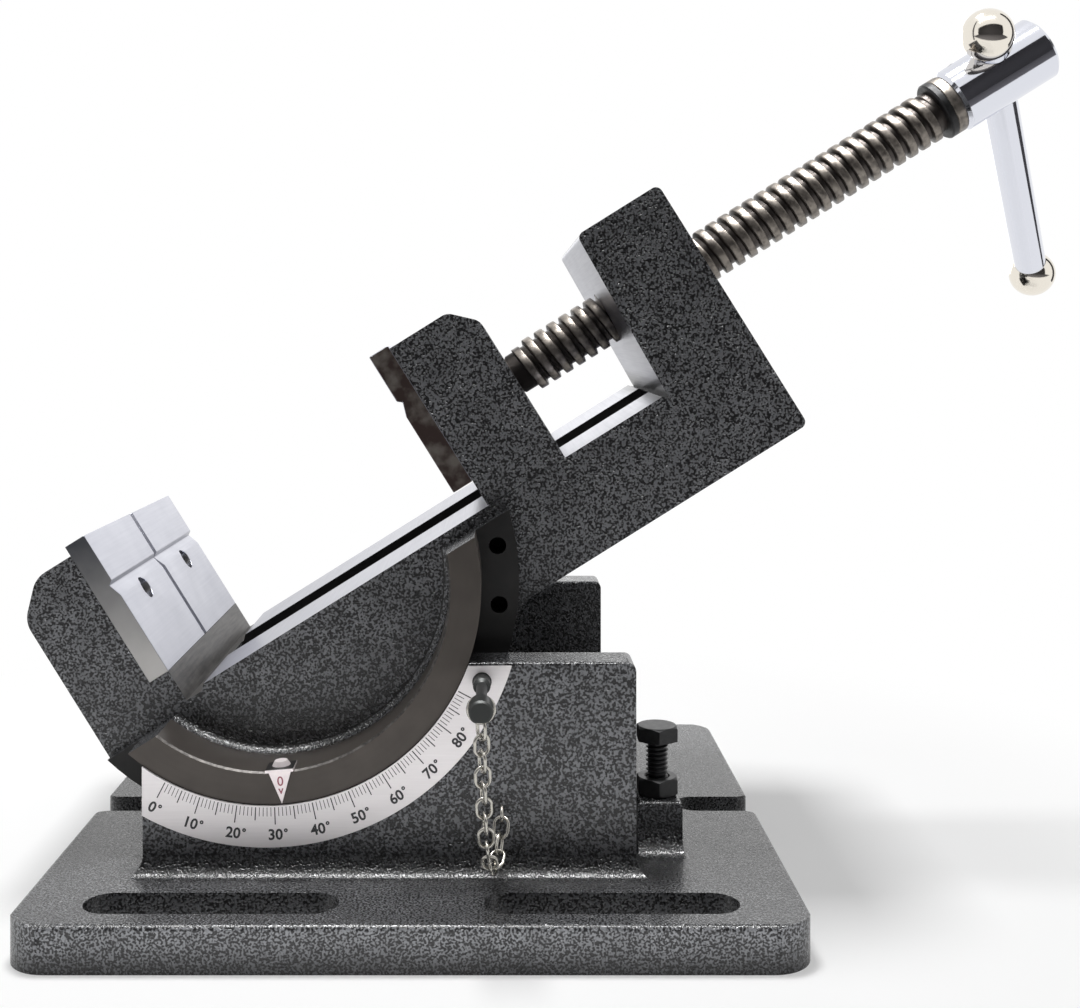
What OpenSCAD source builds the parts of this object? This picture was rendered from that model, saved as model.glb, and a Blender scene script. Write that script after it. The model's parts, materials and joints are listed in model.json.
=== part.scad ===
// Tilting drill press vise: a jaw bed on a half-round trunnion that rocks in a slotted base.
// Frame: origin at the centre of the base underside, X towards the handle, Y to the rear, Z up.
// The bed frame has u along the bed, w square to it, both measured from the tilt axis.

/* [Base plate] */
// Width of the base plate, along X
base_w = 201; // [184:1:230]
// Depth of the base plate, front to rear
base_d = 181; // [176:1:220]
// Thickness of the base plate
base_t = 12; // [9:0.5:16]
// Radius of the plate's corners, seen from above
base_corner_r = 11; // [4:1:18]
// Rounding of the plate's top edges
base_edge_r = 1.5; // [1:0.5:4]
// Width of the two front bolt slots
bolt_slot_w = 13.4; // [9:0.2:16]
// Length of the two front bolt slots, end to end
bolt_slot_len = 65; // [30:1:76]
// Distance between the centres of the front bolt slots
bolt_slot_pitch = 102; // [90:1:108]
// Distance from the front edge to the slots' centre line
bolt_slot_inset = 14; // [13:0.5:17]
// Width of the open bolt slots at the two ends
end_slot_w = 13.2; // [9:0.2:16]
// Depth of the open end slots
end_slot_depth = 24; // [14:1:26]
// Rounding of the end slots' mouths
end_slot_mouth_r = 4; // [1:0.5:6]

/* [Saddle] */
// Thickness of each saddle wall
wall_t = 13; // [10:0.5:15]
// Length of the saddle walls, along X
wall_len = 132.4; // [126:0.2:140]
// Distance from the base centre to the walls' left end
wall_left = 73.3; // [71:0.1:78]
// Height of the saddle walls' top above the base underside
wall_top = 68.8; // [66:0.1:76]
// Hollow fillet at the foot of the walls and the boss
wall_foot_r = 5; // [2:0.5:6]
// Rounding of the walls' top corners
wall_corner_r = 2.5; // [1:0.5:8]
// Rounding of the walls' long top edges
wall_edge_r = 0.8; // [0.5:0.1:2]
// Distance of the vise's middle plane behind the base centre
vise_mid_y = 12.2; // [8:0.2:13]
// Width of the stop bolt's boss
boss_w = 12.5; // [12:0.5:15]
// Depth of the stop bolt's boss, front to rear
boss_d = 16; // [13:0.5:20]
// Hollow fillet at the front and rear foot of the boss
boss_foot_r = 7; // [3:0.5:9]
// Height of the boss above the base plate
boss_h = 14.2; // [10:0.1:18]
// Distance of the boss's middle from the walls' right end
boss_out = 8.3; // [7.6:0.1:10]

/* [Trunnion] */
// Tilt of the bed in this pose
tilt_deg = 32; // [0:1:90]
// Distance of the tilt axis to the left of the base centre
axis_left = 40.1; // [38:0.1:44]
// Height of the tilt axis above the base underside
axis_z = 88.3; // [87:0.1:94]
// Outer radius of the journal rings
journal_r = 57.6; // [55:0.1:59]
// Radial thickness of the journal rings
journal_t = 8.7; // [6:0.1:12]
// Running gap between a journal ring and its saddle
journal_gap = 0.15; // [0.1:0.05:0.3]
// Radial width of the flanges, outside the journal rings, that carry the index holes
flange_w = 10.4; // [8:0.1:12]
// Thickness of the flanges
flange_t = 5; // [3:0.5:7]
// Side gap between each flange and its saddle wall
side_gap = 0.5; // [0.3:0.1:0.9]
// Distance of the flanges' cut-off edge below the tilt axis
rim_drop = 17.6; // [16:0.1:20]
// Fillet between a journal ring and the body's side
journal_fillet_r = 3; // [1:0.5:5]
// Bevel along the journal rings' inner edge
ring_bevel = 0.5; // [0.4:0.1:1.5]

/* [Index and scale] */
// Diameter of the index holes
index_hole_d = 4.8; // [3.6:0.1:6]
// Angle of the index pin below the horizontal
index_angle = 23; // [21:1:26]
// Angle between index holes
index_step = 15; // [15:15:45]
// Largest tilt that has an index hole
index_last = 90; // [60:15:90]
// Clearance of the index pin in its hole, on the diameter
index_pin_fit = 0.2; // [0.1:0.05:0.4]
// Thickness of the scale plate
scale_t = 0.8; // [0.5:0.1:1.5]
// Radial width of the scale plate
scale_w = 11.1; // [9:0.1:12]
// Length of the index pin's neck
pin_neck_l = 17.5; // [17:0.5:19]
// Diameter of the index pin's neck
pin_neck_d = 2.9; // [2.5:0.1:3.4]
// Diameter of the index pin's head
pin_head_d = 6; // [5.4:0.2:8]
// Length of the index pin's head
pin_head_l = 8; // [6:0.5:9]
// Length of the shank that stands out of the wall
pin_shank_out = 6.6; // [4:0.2:8]
// Wire diameter of the chain and its ring
chain_wire_d = 0.9; // [0.7:0.1:1]
// Inner width of a chain link
chain_link_in_w = 3; // [2.8:0.1:3.4]
// Wanted spacing of the chain links
chain_pitch = 4.4; // [4:0.1:5]
// Inner radius of the ring round the pin's neck
chain_ring_in_r = 2.9; // [2.6:0.1:3]
// Height of the chain's lowest point above the base plate
chain_floor_gap = 6; // [3:0.5:8]
// Distance of the chain's eye screw to the right of the base centre
chain_eye_x = 23; // [21:0.5:30]
// Height of the chain's eye screw above the base plate
chain_eye_up = 17.5; // [14:0.5:22]

/* [Bed] */
// Width of the bed and the jaws
bed_w = 102; // [92:1:106]
// Distance of the rails below the tilt axis
bed_drop = 14.2; // [13:0.1:15.6]
// Depth of the bed, from the rails to its underside
bed_depth = 28.2; // [24:0.2:32]
// Thickness of the bed's top plate
bed_plate_t = 12; // [9:0.5:13]
// Thickness of the bed's two cheeks
cheek_t = 16; // [14:0.5:20]
// Width of the slot between the rails
rail_slot_w = 30; // [22:1:36]
// Hollow fillet from the trunnion to the bed's underside
web_r = 15; // [8:1:18]
// Distance from the tilt axis to the foot of the screw upright
upright_u = 120.4; // [116:0.2:130]
// Thickness of the screw upright at its foot
upright_t = 29.2; // [24:0.2:36]
// Height of the screw upright above the rails
upright_h = 51.3; // [46:0.1:56]
// Lean of the upright's inner face, foot to top
upright_draft = 2.2; // [0:0.1:3]
// Rounding of the bed casting's outer corners
cast_r = 2; // [0.8:0.2:3]

/* [Jaws] */
// Distance of the fixed jaw's face to the left of the tilt axis
fixed_face = 39.8; // [38:0.1:42]
// Opening between the jaw faces in this pose
jaw_open = 94.6; // [60:0.2:110]
// Thickness of the jaw plates
jaw_plate_t = 6.3; // [5:0.1:8]
// Height of the jaw plates
jaw_plate_h = 45; // [42:0.1:48]
// Height of the jaw plates' lower edge above the rails
jaw_plate_up = 8.2; // [5:0.1:9]
// Thickness of the fixed jaw block behind its plate
fixed_jaw_t = 20.6; // [16:0.2:22]
// Height of the fixed jaw block above the rails
fixed_jaw_h = 50.2; // [46:0.1:52]
// Thickness of the movable jaw behind its plate
movable_jaw_t = 25.6; // [24:0.2:30]
// Height of the movable jaw above the rails
movable_jaw_h = 52.2; // [48:0.1:56]
// Run of the bevel on the back of the jaws
jaw_back_bevel = 9; // [5:0.5:11]
// Rounding of the fixed jaw's bevel
fixed_back_r = 7.5; // [2:0.5:7.5]
// Rounding of the movable jaw's bevel
movable_back_r = 4; // [1:0.5:6]
// Depth of the V groove that lies along the jaws
v_groove_depth = 1.3; // [1:0.1:2]
// Width of that V groove
v_groove_w = 5; // [4:0.1:6]
// Height of that V groove's upper edge above the rails
v_groove_up = 38.4; // [36:0.1:42]
// Depth of the V groove that stands across each jaw
v_upright_depth = 1.5; // [0.8:0.1:2.2]
// Spacing of the jaw plate screws
jaw_screw_pitch = 54; // [40:1:64]
// Height of the jaw plate screws above the rails
jaw_screw_up = 31.2; // [29:0.1:33]
// Head diameter of the jaw plate screws
jaw_screw_head_d = 7; // [6:0.1:8]
// Depth of the jaw plate screws' heads below the jaw face
jaw_screw_sink = 2; // [0.5:0.1:2.5]
// Shank diameter of the jaw plate screws
jaw_screw_d = 4; // [3:0.5:5]
// Gap between the movable jaw and the rails
slide_gap = 0.2; // [0.1:0.05:0.3]
// Thickness of the keeper plate under the rails
keeper_t = 6; // [4:0.5:8]
// How far the keeper plate reaches under each rail
keeper_lap = 9; // [5:0.5:12]
// Shank diameter of the keeper screws
keeper_screw_d = 5; // [4:0.5:6]

/* [Screw] */
// Outer diameter of the lead screw
screw_d = 16.6; // [14:0.2:18]
// Height of the screw axis above the rails
screw_up = 25.7; // [24:0.1:27]
// Distance from the movable jaw's back to the thread's end at the head
screw_len = 157.5; // [150:0.5:170]
// Length of the plain neck next to the movable jaw
screw_neck_l = 6; // [4:0.5:10]
// Diameter of the plain tip that turns in the movable jaw
screw_tip_d = 12; // [10:0.5:13]
// Depth of the tip in the movable jaw
screw_tip_l = 19.5; // [16:0.5:21]
// Diameter of the pins that hold the tip in the jaw
retaining_pin_d = 4; // [3:0.5:4]
// How far those pins reach into the tip's groove
retaining_bite = 1.4; // [0.8:0.1:1.8]
// Radial running gap of the lead screw in its bores
screw_gap = 0.1; // [0.05:0.01:0.2]
// Length of the dark collar
collar_l = 6; // [4:0.5:8]
// Diameter of the dark collar
collar_d = 19.4; // [18:0.2:22]
// Length of the chrome head
head_l = 33.4; // [28:0.2:40]
// Diameter of the chrome head
head_d = 20.9; // [19:0.1:24]
// Diameter of the pin that fixes the head
head_pin_d = 4; // [3:0.5:5]

/* [Handle] */
// Diameter of the handle bar
handle_d = 10.8; // [8:0.2:11]
// Distance between the centres of the handle balls
handle_len = 114; // [90:1:120]
// Diameter of the handle balls
ball_d = 16.2; // [14:0.2:20]
// Turn of the handle about the screw in this pose
handle_turn = 43.5; // [-180:0.1:180]
// Sliding gap of the bar in the head, on the radius
handle_gap = 0.1; // [0.05:0.05:0.3]

/* [Fasteners] */
// Thread diameter of the stop bolt and the tilt lock bolts
bolt_d = 6.3; // [5:0.1:7]
// Width across flats of those bolts
bolt_flats = 11; // [8:1:11]
// Height of the bolt heads
bolt_head_h = 4.2; // [3:0.2:6]
// Height of the jam nut
nut_h = 5; // [3:0.2:6]
// Gap between the stop bolt and the level bed
stop_gap = 0.3; // [0.1:0.1:0.5]
// Radial running gap of the bolts in their holes
bolt_gap = 0.1; // [0.05:0.05:0.2]
// How far the lock bolts' heads stand off the rear wall
lock_stand_off = 3; // [2:0.5:4]
// Width of the angle pointer at its top
pointer_w = 7.6; // [6:0.2:9]
// Thickness of the pointer's sheet metal
pointer_t = 0.8; // [0.5:0.1:1.2]
// Overhang of the pointer's tab past its blade
pointer_lip = 0.7; // [0.3:0.1:1]
// Diameter of the pointer's screw
pointer_screw_d = 2.5; // [2:0.5:3]

/* [Hidden] */
$fn = 64;

// A length that carries a cutter clear of a face, and a depth that roots one form in another
clear = 1;
far = 400;

// Saddle and trunnion, across the vise
body_front = vise_mid_y - bed_w / 2;
body_rear = vise_mid_y + bed_w / 2;
flange_front = body_front - flange_t;
flange_rear = body_rear + flange_t;
wall_inner_front = flange_front - side_gap;
wall_inner_rear = flange_rear + side_gap;
wall_front = wall_inner_front - wall_t;
wall_rear = wall_inner_rear + wall_t;
wall_right = wall_len - wall_left;
axis_x = -axis_left;
saddle_r = journal_r + journal_gap;
journal_in_r = journal_r - journal_t;
flange_r = journal_r + flange_w;

// Bed, in the bed frame
bed_top = -bed_drop;
bed_under = bed_top - bed_depth;
plate_under = bed_top - bed_plate_t;
fixed_u = -fixed_face;
fixed_plate_back = fixed_u - jaw_plate_t;
fixed_back = fixed_plate_back - fixed_jaw_t;
movable_u = fixed_u + jaw_open;
movable_front = movable_u + jaw_plate_t;
movable_back = movable_front + movable_jaw_t;
upright_back = upright_u + upright_t;
upright_top = bed_top + upright_h;
jaw_plate_low = bed_top + jaw_plate_up;
slot_inset = 4;
slot_left = fixed_u + slot_inset;
slot_right = upright_u - clear;
relief_w = 6.5;
relief_depth = 1.5;

// Screw line, in the bed frame
screw_w = bed_top + screw_up;
thread_left = movable_back + screw_neck_l;
thread_right = movable_back + screw_len;
head_left = thread_right + collar_l;
head_right = head_left + head_l;
cross_u = (head_left + head_right) / 2;
tip_left = movable_back - screw_tip_l;
tip_r = screw_tip_d / 2;
groove_r = tip_r - retaining_bite - 2 * screw_gap;
retaining_out = tip_r - retaining_bite + retaining_pin_d / 2;
groove_u = (movable_back + tip_left) / 2;
head_spigot_gap = handle_d / 2 + clear;
head_pin_u = (head_left + cross_u - head_spigot_gap) / 2;
movable_plate_screw_l = screw_tip_l / 4;
keeper_screw_l = bed_plate_t;
keeper_top = plate_under - slide_gap;
keeper_inset = 2.5;
tongue_gap = 0.3;

// Handle: the bar rests with its upper ball on the rim of the head's cross hole
ball_seat = sqrt(ball_d * ball_d - handle_d * handle_d) / 2;
cross_hole_r = handle_d / 2 + handle_gap;
ball_rest_gap = 0.25;
ball_nest = head_d / 2 + sqrt(ball_d * ball_d / 4 - cross_hole_r * cross_hole_r) + ball_rest_gap;
handle_slip = handle_len / 2 - ball_nest;

// Angle pointer, where the scale's zero lies when the bed is level
tilt_zero = 27.7;
tip_gap = 0.3;
pointer_tab = pointer_screw_d * 2 + clear;
pointer_gap = 0.05;
pointer_seat = sqrt(journal_in_r * journal_in_r - pointer_w * pointer_w / 4) - pointer_gap;

// Index pin and chain
index_r = journal_r + flange_w / 2;
pin_x = axis_x + index_r * cos(index_angle);
pin_z = axis_z - index_r * sin(index_angle);
pin_d = index_hole_d - index_pin_fit;
pin_tip_gap = 0.3;
pin_tip_y = wall_inner_front - pin_tip_gap + side_gap;
pin_neck_rear = wall_front - pin_shank_out;
pin_neck_front = pin_neck_rear - pin_neck_l;
pin_head_front = pin_neck_front - pin_head_l;
ring_y = pin_neck_front + chain_wire_d;
ring_r = chain_ring_in_r + chain_wire_d / 2;
ring_z = pin_z + pin_neck_d / 2 - chain_ring_in_r;
eye_r = 2;
eye_z = base_t + chain_eye_up;
eye_y = wall_front - eye_r - chain_wire_d * 1.5;
chain_start = [pin_x, ring_y, ring_z - chain_ring_in_r];
chain_end = [chain_eye_x, eye_y, eye_z - eye_r + chain_wire_d / 2];
chain_low = base_t + chain_floor_gap;
chain_across = [chain_end[0] - chain_start[0], chain_end[1] - chain_start[1]];
chain_span = norm(chain_across);
chain_yaw = atan2(chain_across[1], chain_across[0]);
rise_start = chain_start[2] - chain_low;
rise_end = chain_end[2] - chain_low;

// A chain hangs as a catenary z = sqrt(a * a + s * s): its parameter a is found by halving a range
function asinh(x) = ln(x + sqrt(x * x + 1));
function arc_to_rise(a, rise) = sqrt(rise * rise + 2 * a * rise);
function reach(a, rise) = a * asinh(arc_to_rise(a, rise) / a);
function chain_reach(a) = reach(a, rise_start) + reach(a, rise_end);
function solve_chain(low, high, steps) =
  let (middle = (low + high) / 2)
  steps == 0 ? middle
  : chain_reach(middle) < chain_span ? solve_chain(middle, high, steps - 1)
  : solve_chain(low, middle, steps - 1);
chain_a = solve_chain(chain_span / 100, chain_span * 100, 50);
arc_start = arc_to_rise(chain_a, rise_start);
arc_end = arc_to_rise(chain_a, rise_end);
link_pairs = round((arc_start + arc_end) / chain_pitch / 2);
link_count = 2 * link_pairs;
link_step = (arc_start + arc_end) / link_count;
link_slack = 0.35;
link_in_l = link_step + link_slack;
function chain_point(s) = [
  reach(chain_a, rise_start) + chain_a * asinh(s / chain_a),
  sqrt(chain_a * chain_a + s * s) - chain_a + chain_low
];
function chain_joint(i) = chain_point(-arc_start + i * link_step);

// Stop bolt and tilt lock bolts
stop_x = wall_right + boss_out;
stop_y = body_front + bolt_flats / 2;
boss_top = base_t + boss_h;
stop_head_top = axis_z + bed_under - stop_gap;
stop_tip = boss_top - boss_h + clear;
lock_r = index_r;
lock_angles = [-50, -100];
lock_tip_gap = 0.3;

// A profile in X and Z, carried from one Y to another
module across(y_low, y_high) {
  translate([0, y_high, 0]) rotate([90, 0, 0]) linear_extrude(y_high - y_low) children();
}

// A round bar along Y, about a point in X and Z
module bar_y(r, y_low, y_high, x = 0, z = 0) {
  translate([x, y_low, z]) rotate([-90, 0, 0]) cylinder(r = r, h = y_high - y_low);
}

// A round bar along X, about a point in Y and Z
module bar_x(r, x_low, x_high, y = 0, z = 0) {
  translate([x_low, y, z]) rotate([0, 90, 0]) cylinder(r = r, h = x_high - x_low);
}

// Puts the bed frame at the tilt axis and turns it up
module on_trunnion() {
  translate([axis_x, 0, axis_z]) rotate([0, -tilt_deg, 0]) children();
}

// A rectangle with all four corners round
module round_rect(w, d, r) {
  square([w - 2 * r, d], center = true);
  square([w, d - 2 * r], center = true);
  for (x = [-1, 1], y = [-1, 1]) translate([x * (w / 2 - r), y * (d / 2 - r)]) circle(r);
}

// A rectangle standing on its base, with the two top corners round
module crown_rect(w, h, r) {
  translate([-w / 2, 0]) square([w, h - r]);
  translate([-w / 2 + r, 0]) square([w - 2 * r, h]);
  for (x = [-1, 1]) translate([x * (w / 2 - r), h - r]) circle(r);
}

// A crowned rectangle with a hollow fillet on both sides of its foot
module footed_rect(w, h, top_r, foot_r) {
  crown_rect(w, h, top_r);
  for (x = [-1, 1]) scale([x, 1]) difference() {
    translate([w / 2 - clear, 0]) square([foot_r + clear, foot_r]);
    translate([w / 2 + foot_r, foot_r]) circle(foot_r);
  }
}

// A cast block that grows out of the plate with hollow fillets along X and Y at its foot
module footed_block(w, d, h, top_r, edge_r, foot_x, foot_y) {
  intersection() {
    across(-d / 2 - foot_y, d / 2 + foot_y) footed_rect(w, h, top_r, foot_x);
    rotate([0, 0, 90]) across(-w / 2 - foot_x, w / 2 + foot_x) footed_rect(d, h, edge_r, foot_y);
  }
}

// The plate: its plan, and its round-edged sections along X and along Y, meet in one solid
module base_plate() {
  intersection() {
    linear_extrude(base_t) round_rect(base_w, base_d, base_corner_r);
    across(-base_d / 2, base_d / 2) crown_rect(base_w, base_t, base_edge_r);
    rotate([0, 0, 90]) across(-base_w / 2, base_w / 2) crown_rect(base_d, base_t, base_edge_r);
  }
}

// A slot for a hold-down bolt, round at both ends
module bolt_slot(length, width) {
  translate([0, 0, -clear]) linear_extrude(base_t + 2 * clear) {
    square([length - width, width], center = true);
    for (x = [-1, 1]) translate([x * (length - width) / 2, 0]) circle(width / 2);
  }
}

// An open slot at the right end of the plate, with a round inner end and a round mouth
module end_slot() {
  inner_x = base_w / 2 - end_slot_depth + end_slot_w / 2;
  mouth_x = base_w / 2 - end_slot_mouth_r;
  translate([0, 0, -clear]) linear_extrude(base_t + 2 * clear) {
    translate([inner_x, 0]) circle(end_slot_w / 2);
    translate([inner_x, -end_slot_w / 2]) square([base_w / 2 - inner_x + clear, end_slot_w]);
    for (y = [-1, 1]) scale([1, y]) difference() {
      translate([mouth_x, 0]) square([end_slot_mouth_r + clear, end_slot_w / 2 + end_slot_mouth_r]);
      translate([mouth_x, end_slot_w / 2 + end_slot_mouth_r]) circle(end_slot_mouth_r);
    }
  }
}

module saddle_wall(y_low) {
  height = wall_top - base_t + clear;
  foot_r = wall_foot_r + clear;
  translate([wall_right - wall_len / 2, y_low + wall_t / 2, base_t - clear])
    footed_block(wall_len, wall_t, height, wall_corner_r, wall_edge_r, foot_r, foot_r);
}

module base_casting() {
  color([0.24, 0.24, 0.25]) difference() {
    union() {
      base_plate();
      saddle_wall(wall_front);
      saddle_wall(wall_inner_rear);
      translate([stop_x, stop_y, base_t - clear])
        footed_block(boss_w, boss_d, boss_h + clear, base_edge_r, base_edge_r, base_edge_r + clear,
          boss_foot_r + clear);
    }
    for (x = [-1, 1]) translate([x * bolt_slot_pitch / 2, -base_d / 2 + bolt_slot_inset, 0])
      bolt_slot(bolt_slot_len, bolt_slot_w);
    end_slot();
    mirror([1, 0, 0]) end_slot();
    bar_y(saddle_r, -base_d, base_d, axis_x, axis_z);
    bar_y(index_hole_d / 2, wall_front - clear, wall_inner_front + clear, pin_x, pin_z);
    bar_y(chain_wire_d / 2, wall_front - clear, wall_front + wall_t / 2, chain_eye_x, eye_z);
    translate([stop_x, stop_y, base_t / 2]) cylinder(r = bolt_d / 2 + bolt_gap, h = far);
    for (a = lock_angles) translate([axis_x + lock_r * cos(a), 0, axis_z + lock_r * sin(a)])
      bar_y(bolt_d / 2 + bolt_gap, wall_inner_rear - clear, far);
  }
}

// The scale is a curved strip round the saddle, kept to the flat of the wall's front face
module scale_plate() {
  foot_top = base_t + wall_foot_r;
  flat_h = wall_top - wall_edge_r - foot_top;
  color([0.85, 0.85, 0.86]) difference() {
    across(wall_front - scale_t, wall_front) intersection() {
      translate([axis_x, axis_z]) difference() {
        circle(saddle_r + scale_w);
        circle(saddle_r);
      }
      translate([-wall_left, foot_top]) square([wall_len, flat_h]);
      translate([axis_x, axis_z]) rotate(-90) translate([0, -far / 2]) square(far);
    }
    bar_y(index_hole_d / 2 + index_pin_fit, -base_d, base_d, pin_x, pin_z);
  }
}

// A hexagon prism along Z, one corner to the front
module hexagon(height) {
  rotate([0, 0, 90]) cylinder(r = bolt_flats / sqrt(3), h = height, $fn = 6);
}

// A hexagon bolt standing along Z, its tip at the origin and its head on top of the shank
module hex_bolt(shank, head_h) {
  cylinder(r = bolt_d / 2, h = shank);
  translate([0, 0, shank]) intersection() {
    hexagon(head_h);
    cylinder(r1 = bolt_flats / sqrt(3) + head_h, r2 = bolt_flats / 2, h = head_h + bolt_flats / 8);
  }
}

module stop_bolt() {
  color([0.1, 0.1, 0.11]) translate([stop_x, stop_y, stop_tip])
    hex_bolt(stop_head_top - bolt_head_h - stop_tip, bolt_head_h);
}

module stop_jam_nut() {
  color([0.1, 0.1, 0.11]) translate([stop_x, stop_y, boss_top]) difference() {
    hexagon(nut_h);
    translate([0, 0, -clear]) cylinder(r = bolt_d / 2 + bolt_gap, h = nut_h + 2 * clear);
  }
}

// Index pin: shank in the wall, a long neck for the ring, and a head with a flat underneath
module index_pin() {
  edge = pin_head_d / 6;
  flat_z = -pin_head_d / 2 + edge / 2;
  color([0.25, 0.26, 0.25]) translate([pin_x, 0, pin_z]) difference() {
    rotate([90, 0, 0]) rotate_extrude() polygon([
      [0, -pin_tip_y], [pin_d / 2 - edge / 2, -pin_tip_y], [pin_d / 2, -pin_tip_y + edge],
      [pin_d / 2, -pin_neck_rear - edge], [pin_neck_d / 2, -pin_neck_rear], [pin_neck_d / 2, -pin_neck_front],
      [pin_head_d / 2 - edge, -pin_neck_front], [pin_head_d / 2, -pin_neck_front + edge],
      [pin_head_d / 2, -pin_head_front - edge / 2], [pin_head_d / 2 - edge / 2, -pin_head_front],
      [0, -pin_head_front]
    ]);
    translate([-pin_head_d / 2, pin_head_front - clear, flat_z - pin_head_d])
      cube([pin_head_d, pin_head_l + clear * 3 / 2, pin_head_d]);
  }
}

// A wire ring in the XZ plane
module wire_ring(r) {
  rotate([90, 0, 0]) rotate_extrude() translate([r, 0]) circle(chain_wire_d / 2);
}

module pin_ring() {
  color([0.78, 0.77, 0.74]) translate([pin_x, ring_y, ring_z]) wire_ring(ring_r);
}

// One link lies along X in the XY plane: two straight wires and two half rings
module chain_link() {
  bend_r = (chain_link_in_w + chain_wire_d) / 2;
  half = (link_in_l - chain_link_in_w) / 2;
  for (end = [0, 1]) rotate([0, 0, 180 * end]) {
    translate([half, 0, 0]) rotate([0, 0, -90]) rotate_extrude(angle = 180)
      translate([bend_r, 0]) circle(chain_wire_d / 2);
    bar_x(chain_wire_d / 2, -half, half, bend_r, 0);
  }
}

// Links hang along the catenary, each turned a quarter from the one before and a little less at each step
module pin_chain() {
  first_turn = -45;
  color([0.78, 0.77, 0.74]) translate([chain_start[0], chain_start[1], 0]) rotate([0, 0, chain_yaw])
    for (i = [0:link_count - 1]) {
      from = chain_joint(i);
      to = chain_joint(i + 1);
      middle = (from + to) / 2;
      pitch_angle = atan2(to[1] - from[1], to[0] - from[0]);
      quarter = 90 * (1 - i % 2);
      translate([middle[0], 0, middle[1]]) rotate([0, -pitch_angle, 0])
        rotate([quarter + first_turn * (1 - i / link_count), 0, 0]) chain_link();
    }
}

// Eye screw in the wall: a stem and a ring that stands square to the wall
module chain_eye() {
  color([0.78, 0.77, 0.74]) {
    bar_y(chain_wire_d / 2, eye_y + eye_r, wall_front + wall_t / 2, chain_eye_x, eye_z);
    translate([chain_eye_x, eye_y, eye_z]) rotate([0, 0, 90]) wire_ring(eye_r);
  }
}

// A lock bolt screwed through the rear wall, its tip next to the rear flange
module tilt_lock_bolt(a) {
  shank = wall_rear + lock_stand_off - flange_rear - lock_tip_gap;
  color([0.1, 0.1, 0.11])
    translate([axis_x + lock_r * cos(a), flange_rear + lock_tip_gap, axis_z + lock_r * sin(a)])
      rotate([-90, 0, 0]) hex_bolt(shank, bolt_head_h);
}

module tilt_lock_bolt_left() {
  tilt_lock_bolt(lock_angles[1]);
}

module tilt_lock_bolt_right() {
  tilt_lock_bolt(lock_angles[0]);
}

// Lower half of a disc, cut off level below the tilt axis
module half_disc(r) {
  intersection() {
    circle(r);
    translate([-far / 2, -rim_drop - far]) square(far);
  }
}

// The hollow fillet that runs from the trunnion's rim into the bed's underside, crossing both by a hair
module web_fillet() {
  bite = web_r / 100;
  reach_r = flange_r + web_r - bite;
  centre_w = bed_under - web_r + bite;
  centre_u = sqrt(reach_r * reach_r - centre_w * centre_w);
  share = (flange_r - clear) / reach_r;
  difference() {
    polygon([[0, bed_under + clear], [0, centre_w * share], [centre_u * share, centre_w * share],
      [centre_u, centre_w], [centre_u, bed_under + clear]]);
    translate([centre_u, centre_w]) circle(web_r);
  }
}

// A unit vector from one point towards another
function towards(from, to) = (to - from) / norm(to - from);

// An outline from [point, radius] corners: a round one is cut between its tangent points and filled by a circle
module cast_outline(corners) {
  count = len(corners);
  bends = [for (i = [0:count - 1]) let (
    point = corners[i][0],
    back = towards(point, corners[(i + count - 1) % count][0]),
    on = towards(point, corners[(i + 1) % count][0]),
    half = acos(back * on) / 2,
    r = corners[i][1],
    reach = r / tan(half)
  ) [point + back * reach, point + on * reach, point + towards([0, 0], back + on) * r / sin(half)]];
  polygon([for (i = [0:count - 1]) each corners[i][1] > 0 ? [bends[i][0], bends[i][1]] : [corners[i][0]]]);
  for (i = [0:count - 1]) if (corners[i][1] > 0) translate(bends[i][2]) circle(corners[i][1]);
}

// Side view of the body casting: fixed jaw block, bed, upright and trunnion
module body_profile() {
  block_top = bed_top + fixed_jaw_h;
  block_foot = -rim_drop - cast_r;
  cast_outline([
    [[fixed_back, block_foot], 0], [[fixed_back, block_top - jaw_back_bevel], fixed_back_r],
    [[fixed_back + jaw_back_bevel, block_top], fixed_back_r], [[fixed_plate_back, block_top], 0],
    [[fixed_plate_back, jaw_plate_low], 0], [[fixed_u, jaw_plate_low], 0],
    [[fixed_u, bed_top - relief_depth], 0],
    [[fixed_u + relief_w - relief_depth, bed_top - relief_depth], 0], [[fixed_u + relief_w, bed_top], 0],
    [[upright_u - relief_depth, bed_top], 0], [[upright_u, bed_top - relief_depth], 0],
    [[upright_u + upright_draft, upright_top], cast_r], [[upright_back, upright_top], cast_r],
    [[upright_back, bed_under], cast_r], [[0, bed_under], 0], [[0, block_foot], 0]
  ]);
  half_disc(flange_r);
  web_fillet();
}

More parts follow.
